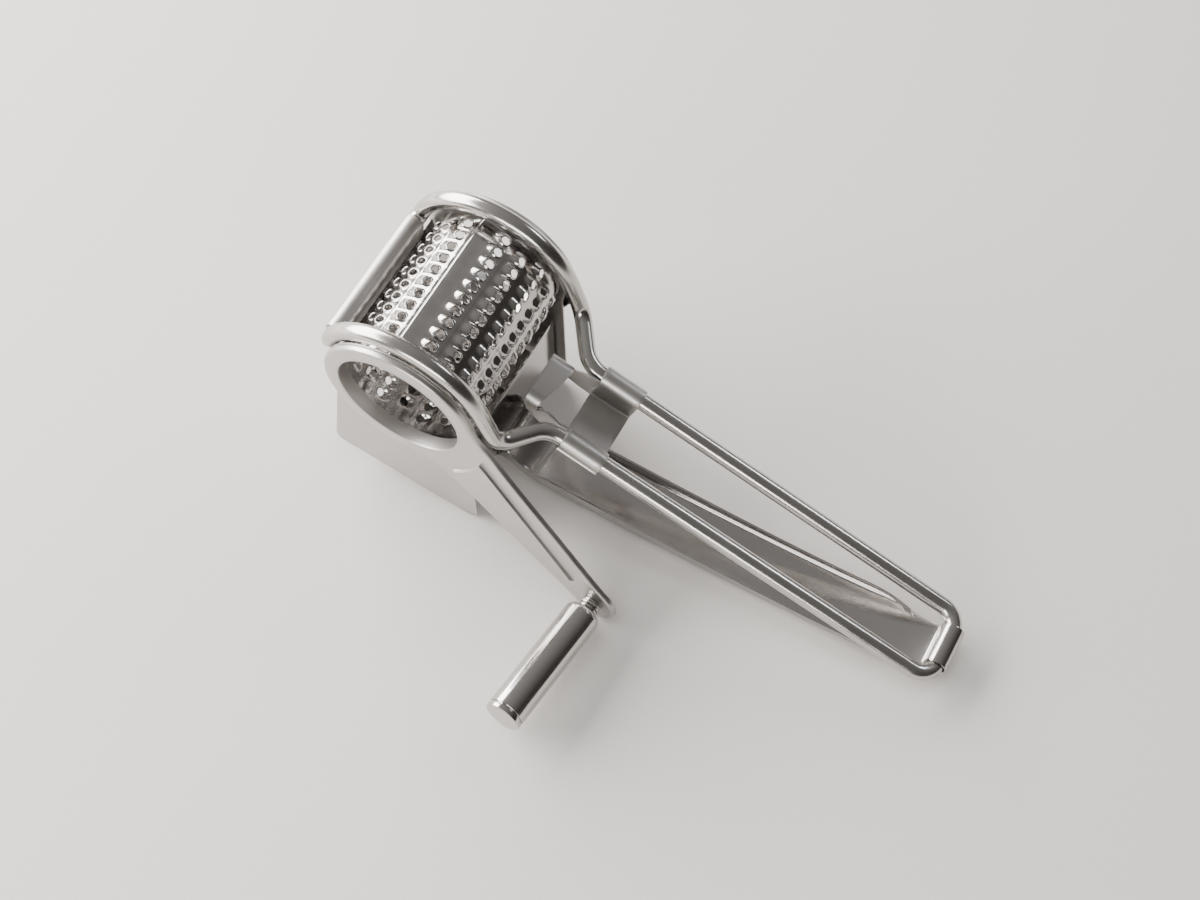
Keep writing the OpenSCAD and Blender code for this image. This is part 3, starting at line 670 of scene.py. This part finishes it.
# ---------------------------------------------------------------------------------------------
# Far end ring. A pressed ring of satin stainless sheet with its rim turned back; it is fixed
# to the drum's far end and keeps it from sliding out of the cheeks.
RING_R = 28.5
RING_Y = 35.0
ring_profile = [(DRUM_R + 0.1, 0.0), (RING_R - 1.2, 0.0)]
ring_profile += [(RING_R - 1.2 + 1.0 * sin(radians(a)), 1.0 * (1 - cos(radians(a))))
                 for a in range(15, 91, 15)]
ring_profile += [(RING_R - 0.2, 2.0)]
far_ring = lathed([(r, RING_Y - 0.45 - z) for r, z in ring_profile])
thickened(fitted("ring_far", far_ring, on_frame, satin_sheet, "drum", "satin_sheet",
                 "drum_ring_far"), 0.6)

# ---------------------------------------------------------------------------------------------
# Crank plate. One pressing of 0.8 mm sheet, bead blasted to an even grey: a ring round the
# drum's mouth, an arm that splays outward, a raised wedge that stiffens it, and an eye.
ARM_ANGLE = radians(27.5)
ARM_BEND = 30.0
SPLAY = radians(7.5)
CRANK_T = 0.8
BEND_RUN = 6
ARM_RUN = 67.6
EYE_R = 8.4
FLANGE_R = 1.0
FLANGE_DEPTH = 2.2
RIM_GAP = 0.15
on_crank = (on_frame @ Matrix.Rotation(ARM_ANGLE, 4, "Y") @ Matrix.Translation((0, -RING_Y, 0)))


def splayed(x, y, depth):
    """A point of the flat crank plate, bent outward past the ring; depth runs inward."""
    run = x - (ARM_BEND - BEND_RUN / 2)
    if run <= 0:
        return Vector((x, depth, -y))
    turn = min(run / BEND_RUN, 1) * SPLAY
    radius = BEND_RUN / SPLAY
    base = Vector((ARM_BEND - BEND_RUN / 2 + radius * sin(turn), -radius * (1 - cos(turn)), 0))
    if run >= BEND_RUN:
        base += Vector((cos(turn), -sin(turn), 0)) * (run - BEND_RUN)
    return base + Vector((sin(turn), cos(turn), 0)) * depth + Vector((0, 0, -y))


edge_points = arc((0, 0), RING_R, 48, 312, 3)
eye_x = ARM_BEND + ARM_RUN
lower = [(24.5, -18.4), (30, -17.0), (36, -15.6), (44, -14.4), (58, -12.7), (74, -10.9),
         (86, -9.3), (92.5, -8.5)]
crank_edge = edge_points + lower + arc((eye_x, 0), EYE_R, -88, 88, 8)
crank_edge += [(x, -y) for x, y in reversed(lower)]


def evened(loop, step):
    """The closed line walked at an even pace and lightly smoothed."""
    pts = [Vector(p) for p in loop]
    for _ in range(2):
        new = []
        for a, b in zip(pts, pts[1:] + pts[:1]):
            new += [a.lerp(b, 0.25), a.lerp(b, 0.75)]
        pts = new
    lengths = [0.0]
    for a, b in zip(pts, pts[1:] + pts[:1]):
        lengths.append(lengths[-1] + (b - a).length)
    count = int(lengths[-1] / step)
    walked, k = [], 0
    for i in range(count):
        goal = lengths[-1] * i / count
        while lengths[k + 1] < goal:
            k += 1
        share = (goal - lengths[k]) / max(1e-9, lengths[k + 1] - lengths[k])
        walked.append(pts[k].lerp(pts[(k + 1) % len(pts)], share))
    return walked


def moved_in(loop, gap):
    """The closed line moved inward by the gap; it runs anticlockwise."""
    result = []
    for i, p in enumerate(loop):
        way = (loop[(i + 1) % len(loop)] - loop[i - 1]).normalized()
        result.append(p + Vector((-way.y, way.x)) * gap)
    return result


rim = evened(crank_edge, 1.0)
if sum(a.x * b.y - b.x * a.y for a, b in zip(rim, rim[1:] + rim[:1])) < 0:
    rim.reverse()
face_edge = moved_in(rim, FLANGE_R + RIM_GAP)

WEDGE_H = 1.0
WEDGE_ARC = 32.8
WEDGE_SLOPE = 0.5
wedge_tip = eye_x - 11


def wedge_loop(inset):
    """Edge of the raised wedge; inset moves it up the slope."""
    half = radians(16.5) - inset / WEDGE_ARC
    hub = [((WEDGE_ARC + inset) * cos(a), (WEDGE_ARC + inset) * sin(a))
           for a in (-half + 2 * half * i / 14 for i in range(15))]
    sides = []
    start, end = hub[-1], (wedge_tip - 2.5 * inset, max(0.15, 1.3 - inset))
    for i in range(1, 26):
        t = i / 25
        sides.append((start[0] + (end[0] - start[0]) * t, start[1] + (end[1] - start[1]) * t))
    return hub + sides + [(x, -y) for x, y in reversed(sides)]


wedge_foot, wedge_crown = wedge_loop(0), wedge_loop(WEDGE_SLOPE)


crown_keys = {(round(x, 3), round(y, 3)) for x, y in wedge_crown}


def pressed(p):
    """The plate's face, with the wedge pushed out."""
    raised = (round(p[0], 3), round(p[1], 3)) in crown_keys or inside(p, wedge_crown)
    return splayed(p[0], p[1], CRANK_T / 2 - (WEDGE_H if raised else 0.0))


plate = cut_sheet([tuple(p) for p in face_edge], [arc((0, 0), DRUM_R + 0.1, 0, 356, 4)],
                  [wedge_foot + wedge_foot[:1], wedge_crown + wedge_crown[:1]],
                  spacing=2.2, shape=pressed)
uv = plate.loops.layers.uv["grain"]
bands = []
for a in (0, 18, 36, 54, 72, 90):
    shift = FLANGE_R * sin(radians(a))
    bands.append((moved_in(rim, FLANGE_R + RIM_GAP - shift),
                  CRANK_T / 2 + FLANGE_R * (1 - cos(radians(a)))))
bands.append((moved_in(rim, RIM_GAP), FLANGE_DEPTH))
strips = [[plate.verts.new(splayed(p.x, p.y, depth)) for p in loop] for loop, depth in bands]
for a, b, (loop_a, _), (loop_b, _) in zip(strips, strips[1:], bands, bands[1:]):
    for k in range(len(a)):
        n = (k + 1) % len(a)
        face = plate.faces.new((a[k], a[n], b[n], b[k]))
        for loop, spot in zip(face.loops, (loop_a[k], loop_a[n], loop_b[n], loop_b[k])):
            loop[uv].uv = spot
bmesh.ops.remove_doubles(plate, verts=plate.verts, dist=0.01)

# Stainless sheet, bead blasted and lightly rubbed: an even, matt silver grey with a soft broad
# sheen, brighter where the edges are worn.
crank_sheet, tree, out = blank_metal("stainless_sheet_bead_blasted")
place = add(tree, "ShaderNodeTexCoord")
grit = add(tree, "ShaderNodeTexNoise", {"Vector": place.outputs["Object"]},
           {"Scale": 2600.0, "Detail": 2.0, "Roughness": 0.6})
rub = add(tree, "ShaderNodeTexNoise", {"Vector": place.outputs["Object"]},
          {"Scale": 40.0, "Detail": 5.0, "Roughness": 0.6})
rough = add(tree, "ShaderNodeMapRange", {"Value": rub.outputs["Fac"]},
            {"From Min": 0.3, "From Max": 0.75, "To Min": 0.3, "To Max": 0.42})
tone = add(tree, "ShaderNodeMix", {0: rub.outputs["Fac"]},
           {6: linear("B8B5B3"), 7: linear("C6C3C1")}, data_type="RGBA")
relief = add(tree, "ShaderNodeBump", {"Height": grit.outputs["Fac"]},
             {"Strength": 0.12, "Distance": 0.00005})
shader = add(tree, "ShaderNodeBsdfPrincipled",
             {"Base Color": tone.outputs[2], "Roughness": rough.outputs["Result"],
              "Normal": relief.outputs["Normal"]}, {"Metallic": 1.0})
tree.links.new(shader.outputs["BSDF"], out.inputs["Surface"])

thickened(fitted("crank_arm", plate, on_crank, crank_sheet, "drum", "crank_sheet", "crank_plate",
                 sharp=24), CRANK_T, edge=0.1)

# ---------------------------------------------------------------------------------------------
# Grip pin and collars. A turned steel pin riveted through the eye, with three thin collars
# stacked between the eye and the grip so that the grip turns clear of the arm.
PIN_R = 2.4
COLLAR_T = 1.2
COLLAR_SOFT = 0.4
eye_middle = splayed(eye_x, 0, 0)
out_way = (on_crank.to_3x3() @ Vector((-sin(SPLAY), -cos(SPLAY), 0))).normalized()
turn_to_grip = Vector((0, 0, 1)).rotation_difference(out_way).to_matrix().to_4x4()
on_grip = Matrix.Translation(on_crank @ eye_middle) @ turn_to_grip @ Matrix.Scale(0.001, 4)

# Free-machining stainless, turned and burnished: bright, with fine rings round the axis.
turned_steel, tree, out = blank_metal("stainless_bar_turned_burnished")
grain = add(tree, "ShaderNodeUVMap", uv_map="grain")
stretch = add(tree, "ShaderNodeMapping", {"Vector": grain.outputs["UV"]},
              {"Scale": (3.0, 0.05, 1)})
turning = add(tree, "ShaderNodeTexNoise", {"Vector": stretch.outputs["Vector"]},
                  {"Scale": 2.5, "Detail": 3.0, "Roughness": 0.6})
place = add(tree, "ShaderNodeTexCoord")
haze = add(tree, "ShaderNodeTexNoise", {"Vector": place.outputs["Object"]},
           {"Scale": 160.0, "Detail": 3.0})
rough = add(tree, "ShaderNodeMapRange", {"Value": haze.outputs["Fac"]},
            {"From Min": 0.3, "From Max": 0.75, "To Min": 0.12, "To Max": 0.22})
tone = add(tree, "ShaderNodeMix", {0: haze.outputs["Fac"]},
           {6: linear("B8B5B2"), 7: linear("C6C3C0")}, data_type="RGBA")
relief = add(tree, "ShaderNodeBump", {"Height": turning.outputs["Fac"]},
             {"Strength": 0.15, "Distance": 0.00004})
shader = add(tree, "ShaderNodeBsdfPrincipled",
             {"Base Color": tone.outputs[2], "Roughness": rough.outputs["Result"],
              "Normal": relief.outputs["Normal"]}, {"Metallic": 1.0})
tree.links.new(shader.outputs["BSDF"], out.inputs["Surface"])

GRIP_START = 3 * COLLAR_T + 0.3
GRIP_LENGTH = 45.7
STOP_R, STOP_FROM, STOP_TO = 4.2, GRIP_START + 6.1, GRIP_START + 7.5
pin_end = GRIP_START + GRIP_LENGTH
pin_profile = [(0, -1.9), (2.6, -1.85), (3.8, -1.5), (4.1, -1.1), (4.15, -0.8), (PIN_R, -0.8),
               (PIN_R, STOP_FROM), (STOP_R, STOP_FROM), (STOP_R, STOP_TO), (PIN_R, STOP_TO),
               (PIN_R, pin_end), (0, pin_end)]
fitted("pin", lathed(pin_profile, 48, "Z"), on_grip, turned_steel, "drum", "turned_steel",
       "grip_pin")
for index, (name, radius) in enumerate((("collar_inner", 3.6), ("collar_middle", 4.0),
                                        ("collar_outer", 3.7))):
    low, high = index * COLLAR_T + 0.05, (index + 1) * COLLAR_T - 0.05
    soft = COLLAR_SOFT
    profile = [(PIN_R + 0.02, low), (radius - soft, low)]
    profile += [(radius - soft + soft * sin(radians(a)), low + soft * (1 - cos(radians(a))))
                for a in (30, 60, 90)]
    profile += [(radius - soft + soft * cos(radians(a)), high - soft + soft * sin(radians(a)))
                for a in (0, 30, 60, 90)]
    profile += [(PIN_R + 0.02, high)]
    fitted(name + "_ring", lathed(profile, 64, "Z"), on_grip, turned_steel, "drum",
           "turned_steel", name)

# ---------------------------------------------------------------------------------------------
# Grip. A drawn stainless tube with a rounded shoulder, free to turn on the pin, closed at the
# outer end by a flat disc pressed in behind a shallow groove.
GRIP_R = 6.7
grip_profile = [(PIN_R + 0.15, 0.6), (PIN_R + 0.15, 0.0), (GRIP_R - 3.0, 0.0)]
grip_profile += [(GRIP_R - 3 + 3 * sin(radians(a)), 3 - 3 * cos(radians(a))) for a in range(9, 91, 9)]
grip_profile += [(GRIP_R, 3 + (GRIP_LENGTH - 3.4) * i / 8) for i in range(1, 9)]
grip_profile += [(GRIP_R - 0.06, GRIP_LENGTH - 0.12), (GRIP_R - 0.2, GRIP_LENGTH),
                 (GRIP_R - 0.65, GRIP_LENGTH), (GRIP_R - 0.65, GRIP_LENGTH - 3)]

# Stainless tube, drawn and mirror polished: clear reflections with hairline wear along it.
grip_steel, tree, out = blank_metal("stainless_tube_mirror_polished")
grain = add(tree, "ShaderNodeUVMap", uv_map="grain")
stretch = add(tree, "ShaderNodeMapping", {"Vector": grain.outputs["UV"]},
              {"Scale": (0.03, 0.9, 1)})
lines = add(tree, "ShaderNodeTexNoise", {"Vector": stretch.outputs["Vector"]},
            {"Scale": 1.3, "Detail": 2.0, "Roughness": 0.5})
place = add(tree, "ShaderNodeTexCoord")
touch = add(tree, "ShaderNodeTexNoise", {"Vector": place.outputs["Object"]},
            {"Scale": 60.0, "Detail": 4.0, "Roughness": 0.6})
rough = add(tree, "ShaderNodeMapRange", {"Value": touch.outputs["Fac"]},
            {"From Min": 0.3, "From Max": 0.75, "To Min": 0.11, "To Max": 0.2})
tone = add(tree, "ShaderNodeMix", {0: touch.outputs["Fac"]},
           {6: linear("BDBAB7"), 7: linear("CAC7C4")}, data_type="RGBA")
relief = add(tree, "ShaderNodeBump", {"Height": lines.outputs["Fac"]},
             {"Strength": 0.1, "Distance": 0.00004})
shader = add(tree, "ShaderNodeBsdfPrincipled",
             {"Base Color": tone.outputs[2], "Roughness": rough.outputs["Result"],
              "Normal": relief.outputs["Normal"]}, {"Metallic": 1.0})
tree.links.new(shader.outputs["BSDF"], out.inputs["Surface"])

at_grip = on_grip @ Matrix.Translation((0, 0, GRIP_START))
fitted("grip_barrel", lathed(grip_profile, 96, "Z"), at_grip, grip_steel, "grip", "grip_steel",
       "grip_tube")
cap_profile = [(GRIP_R - 0.7, -2), (GRIP_R - 0.7, 0.0), (GRIP_R - 0.7, 0.45), (GRIP_R - 0.2, 0.46),
               (GRIP_R - 0.05, 0.52), (GRIP_R, 0.7), (GRIP_R, 1.95), (GRIP_R - 0.1, 2.2),
               (GRIP_R - 0.35, 2.36), (GRIP_R - 0.8, 2.4), (0, 2.4)]
fitted("grip_disc", lathed(cap_profile, 96, "Z"), at_grip @ Matrix.Translation((0, 0, GRIP_LENGTH)),
       grip_steel, "grip", "grip_steel", "grip_cap")

# ---------------------------------------------------------------------------------------------
# Press lever. One strip of 0.8 mm stainless pressed into a shallow channel; its back end narrows
# and hooks over the handle loop's bar, its front end steps up and carries the press.
LEVER_T = 0.8
LEVER_HALF = 11.2
HOOK_HALF = 7.6
LEVER_SAG = 9.1
BELLY_AT = 62
HOOK_RISE, HOOK_RUN = 5.0, 18
WALL_H = 6.2
pivot = Vector(joint_at["lever_press"]["pos_m"])
on_lever = Matrix.Translation(pivot) @ Matrix.Scale(0.001, 4)
drum_from_pivot = (drum_middle - pivot) * 1000
BACK_X = 20.3
PLATE_Z = drum_from_pivot.z - 56.2
BACK_S = -drum_from_pivot.x - BACK_X
STEP_FROM, STEP_LENGTH = BACK_S - 14, 12
RIVET_S = BACK_S + 14
RIVET_Y = 6
LEVER_END = RIVET_S + 6
SIDE_END = BACK_S - 1.0


def eased(t):
    """A share from 0 to 1 that starts and ends gently."""
    t = min(max(t, 0), 1)
    return t * t * (3 - 2 * t)


def bellied(s):
    """Underside of the lever's floor behind its front step, rising to the hook."""
    return (-LEVER_SAG + 0.0004 * (s - BELLY_AT) ** 2
            + HOOK_RISE * exp(-(s - 5) / HOOK_RUN))


def floor_low(s):
    """Underside of the lever's floor at s ahead of its pivot."""
    top = STEP_FROM + STEP_LENGTH
    climb = PLATE_Z - LEVER_T - bellied(top)
    return bellied(min(s, top)) + climb * eased((s - STEP_FROM) / STEP_LENGTH)


def wall_rise(s):
    """Height of the lever's side walls over its floor."""
    if s > SIDE_END:
        return 0.0
    rise = WALL_H * (0.55 + 0.45 * min(1, (s - 20) / 110)) * eased((s - 12) / 20)
    return rise * eased((SIDE_END - s) / 5 + 0.35)


def half_width(s):
    """Half the lever's width, from its hook out to its walls."""
    return HOOK_HALF + (LEVER_HALF - LEVER_T / 2 - HOOK_HALF) * eased((s - 6) / 20)


def channel_row(s):
    """One cross row of the channel, from wall top to wall top."""
    z, w, h = floor_low(s) + LEVER_T / 2, half_width(s), wall_rise(s)
    r = min(1.6, 0.45 * h + 0.02)
    half = [Vector((-s, w, z + h * t + r * (1 - t))) for t in (1.0, 0.66, 0.33)]
    half += [Vector((-s, w - r + r * cos(radians(a)), z + r - r * sin(radians(a))))
             for a in (0, 22.5, 45, 67.5, 90)]
    half += [Vector((-s, (w - r) * t, z)) for t in (0.8, 0.6, 0.4, 0.2)]
    walled = eased((s - 10) / 6)
    half = [Vector((-s, w * (1 - i / 12), z)).lerp(v, walled) for i, v in enumerate(half)]
    return half + [Vector((-s, 0, z))] + [Vector((v.x, -v.y, v.z)) for v in reversed(half)]


HOOK_GAP = 0.4
hook_r = WIRE_R + HOOK_GAP + LEVER_T / 2
stations = [LEVER_END - i * (LEVER_END - hook_r - 1.0) / 130 for i in range(131)]
lever_rows = [channel_row(s) for s in stations]
# The hook: the floor goes on as a plain strip, up in front of the bar, over it and round.
foot_z = floor_low(stations[-1]) + LEVER_T / 2
hook_line = rounded([Vector((-stations[-1], 0, foot_z)), Vector((-hook_r, 0, foot_z + 0.4)),
                     Vector((-hook_r, 0, 2.0))], [0.8], 0.25)[1:-1]
hook_line += [Vector((hook_r * cos(radians(a)), 0, hook_r * sin(radians(a))))
              for a in range(176, -112, -8)]
for p in hook_line:
    lever_rows.append([Vector((p.x, v.y, p.z)) for v in lever_rows[len(stations) - 1]])

# Stainless strip, bright rolled and then bent: mirror-like along the floor with long fluid
# reflections that waver where the press has stretched it.
lever_sheet, tree, out = blank_metal("stainless_strip_bright_bent")
grain = add(tree, "ShaderNodeUVMap", uv_map="grain")
stretch = add(tree, "ShaderNodeMapping", {"Vector": grain.outputs["UV"]},
              {"Scale": (0.02, 0.5, 1)})
lines = add(tree, "ShaderNodeTexNoise", {"Vector": stretch.outputs["Vector"]},
            {"Scale": 1.0, "Detail": 1.0, "Roughness": 0.4})
place = add(tree, "ShaderNodeTexCoord")
smear = add(tree, "ShaderNodeTexNoise", {"Vector": place.outputs["Object"]},
            {"Scale": 30.0, "Detail": 3.0, "Roughness": 0.5, "Distortion": 0.5})
rough = add(tree, "ShaderNodeMapRange", {"Value": smear.outputs["Fac"]},
            {"From Min": 0.3, "From Max": 0.75, "To Min": 0.12, "To Max": 0.2})
tone = add(tree, "ShaderNodeMix", {0: smear.outputs["Fac"]},
           {6: linear("B0ADAB"), 7: linear("BFBCBA")}, data_type="RGBA")
waver = add(tree, "ShaderNodeBump", {"Height": smear.outputs["Fac"]},
            {"Strength": 0.15, "Distance": 0.0006})
relief = add(tree, "ShaderNodeBump", {"Height": lines.outputs["Fac"],
                                      "Normal": waver.outputs["Normal"]},
             {"Strength": 0.08, "Distance": 0.00003})
shader = add(tree, "ShaderNodeBsdfPrincipled",
             {"Base Color": tone.outputs[2], "Roughness": rough.outputs["Result"],
              "Normal": relief.outputs["Normal"]}, {"Metallic": 1.0})
tree.links.new(shader.outputs["BSDF"], out.inputs["Surface"])

thickened(fitted("lever_strip", ruled_sheet(lever_rows), on_lever, lever_sheet, "lever",
                 "lever_sheet", "press_lever"), LEVER_T)

# ---------------------------------------------------------------------------------------------
# Press. Bright sheet bent three times: a back that closes the hopper, a bottom that carries
# the cheese, and a turned-up front edge. Two rivets hold it on the lever.
PRESS_T = 0.8
PRESS_PLAY = 0.35
BACK_H, PRESS_LENGTH = 31.4, 38
LIP_REACH, LIP_H = 3.5, 6
PRESS_BEND = 4
press_half = CHEEK_Y - SHEET_T - PRESS_PLAY
press_line = rounded([Vector((-BACK_S - PRESS_T / 2, 0, PLATE_Z + BACK_H)),
                      Vector((-BACK_S - PRESS_T / 2, 0, PLATE_Z + PRESS_T / 2)),
                      Vector((-BACK_S - PRESS_LENGTH, 0, PLATE_Z + PRESS_T / 2)),
                      Vector((-BACK_S - PRESS_LENGTH - LIP_REACH, 0, PLATE_Z + LIP_H))],
                     [PRESS_BEND, PRESS_BEND], 0.6)
dense = [press_line[0].lerp(press_line[1], i / 12) for i in range(12)] + press_line[1:]
press_rows = [[Vector((p.x, press_half * k / 12, p.z)) for k in range(-12, 13)] for p in dense]
thickened(fitted("press_sheet", ruled_sheet(press_rows), on_lever, polished_sheet, "lever",
                 "polished_sheet", "press_plate"), PRESS_T)

rivet_profile = [(0, -0.8), (1.8, -0.75), (2.5, -0.4), (2.56, 0), (1.6, 0), (1.6, 1.6), (2.56, 1.6),
                 (2.5, 2.0), (1.8, 2.35), (0, 2.4)]
for side in (-1, 1):
    seat = on_lever @ Matrix.Translation((-RIVET_S, side * RIVET_Y, PLATE_Z - LEVER_T))
    rivet = fitted("rivet_near" if side < 0 else "rivet_far", lathed(rivet_profile, 32, "Z"), seat,
                   turned_steel, "lever", "turned_steel")
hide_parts("press_rivets")

# ---------------------------------------------------------------------------------------------
# Studio. A pale paper floor and one large soft light, low in front of the drum; weaker ones at
# the crank's side, overhead and behind, and walls that darken away from the large light.
floor_mesh = bpy.data.meshes.new("floor")
half = 3.0
floor_mesh.from_pydata([(-half, -half, 0), (half, -half, 0), (half, half, 0), (-half, half, 0)],
                       [], [(0, 1, 2, 3)])
floor_mesh.transform(Matrix.Translation((0, 0, cad_box[0].z)))
floor = bpy.data.objects.new("floor", floor_mesh)
bpy.context.scene.collection.objects.link(floor)
paper, tree, out = blank_metal("paper_backdrop_matt")
place = add(tree, "ShaderNodeTexCoord")
fibre = add(tree, "ShaderNodeTexNoise", {"Vector": place.outputs["Object"]},
            {"Scale": 900.0, "Detail": 3.0})
tone = add(tree, "ShaderNodeMix", {0: fibre.outputs["Fac"]},
           {6: linear("CAC6C2"), 7: linear("D0CCC8")}, data_type="RGBA")
relief = add(tree, "ShaderNodeBump", {"Height": fibre.outputs["Fac"]},
             {"Strength": 0.15, "Distance": 0.0001})
shader = add(tree, "ShaderNodeBsdfPrincipled",
             {"Base Color": tone.outputs[2], "Normal": relief.outputs["Normal"]},
             {"Roughness": 0.85, "Specular IOR Level": 0.2})
tree.links.new(shader.outputs["BSDF"], out.inputs["Surface"])
floor_mesh.materials.append(paper)


def soft_light(name, spot, aim, width, height, power, colour):
    """A rectangular softbox at the spot, facing the aim."""
    data = bpy.data.lights.new(name, "AREA")
    data.shape, data.size, data.size_y = "RECTANGLE", width, height
    data.energy, data.color = power, linear(colour)[:3]
    lamp = bpy.data.objects.new(name, data)
    bpy.context.scene.collection.objects.link(lamp)
    lamp.location = spot
    lamp.rotation_euler = (Vector(aim) - Vector(spot)).to_track_quat("-Z", "Y").to_euler()
    return lamp


soft_light("key", (-1.05, 0.06, 0.55), (0, 0, 0.03), 2.0, 0.75, 78, "FFFCF9")
soft_light("front", (0.05, -1.15, 0.42), (0, 0, 0.03), 0.8, 0.3, 9, "FFFDFB")
overhead = soft_light("overhead", (-0.25, -0.1, 1.6), (0, 0, 0), 1.2, 1.2, 14, "FFFFFF")
overhead.visible_glossy = False
soft_light("rim", (0.5, 0.95, 0.7), (0, 0, 0.03), 0.35, 0.2, 2.0, "F6F8FF")

world = bpy.data.worlds.new("studio")
bpy.context.scene.world = world
world.use_nodes = True
tree = world.node_tree
sky = tree.nodes["Background"]
way = add(tree, "ShaderNodeTexCoord")
facing = add(tree, "ShaderNodeVectorMath", {0: way.outputs["Generated"]},
             {1: (-0.82, 0.1, 0.5)}, operation="DOT_PRODUCT")
share = add(tree, "ShaderNodeMapRange", {"Value": facing.outputs["Value"]},
            {"From Min": -0.5, "From Max": 0.95})
walls = add(tree, "ShaderNodeValToRGB", {"Fac": share.outputs["Result"]})
for end, tone_code in zip(walls.color_ramp.elements, ("55524F", "D2CFCC")):
    end.color = linear(tone_code)
tree.links.new(walls.outputs["Color"], sky.inputs["Color"])
sky.inputs["Strength"].default_value = 0.7

camera_data = bpy.data.cameras.new("camera")
camera_data.lens, camera_data.sensor_width = 52.12, 36
camera_data.clip_start, camera_data.clip_end = 0.01, 20
camera = bpy.data.objects.new("camera", camera_data)
bpy.context.scene.collection.objects.link(camera)
camera.location = drum_middle + Vector((0.1877, -0.2364, 0.5005))
camera.rotation_euler = (radians(90 - 63.32), 0, radians(29.07))
bpy.context.scene.camera = camera
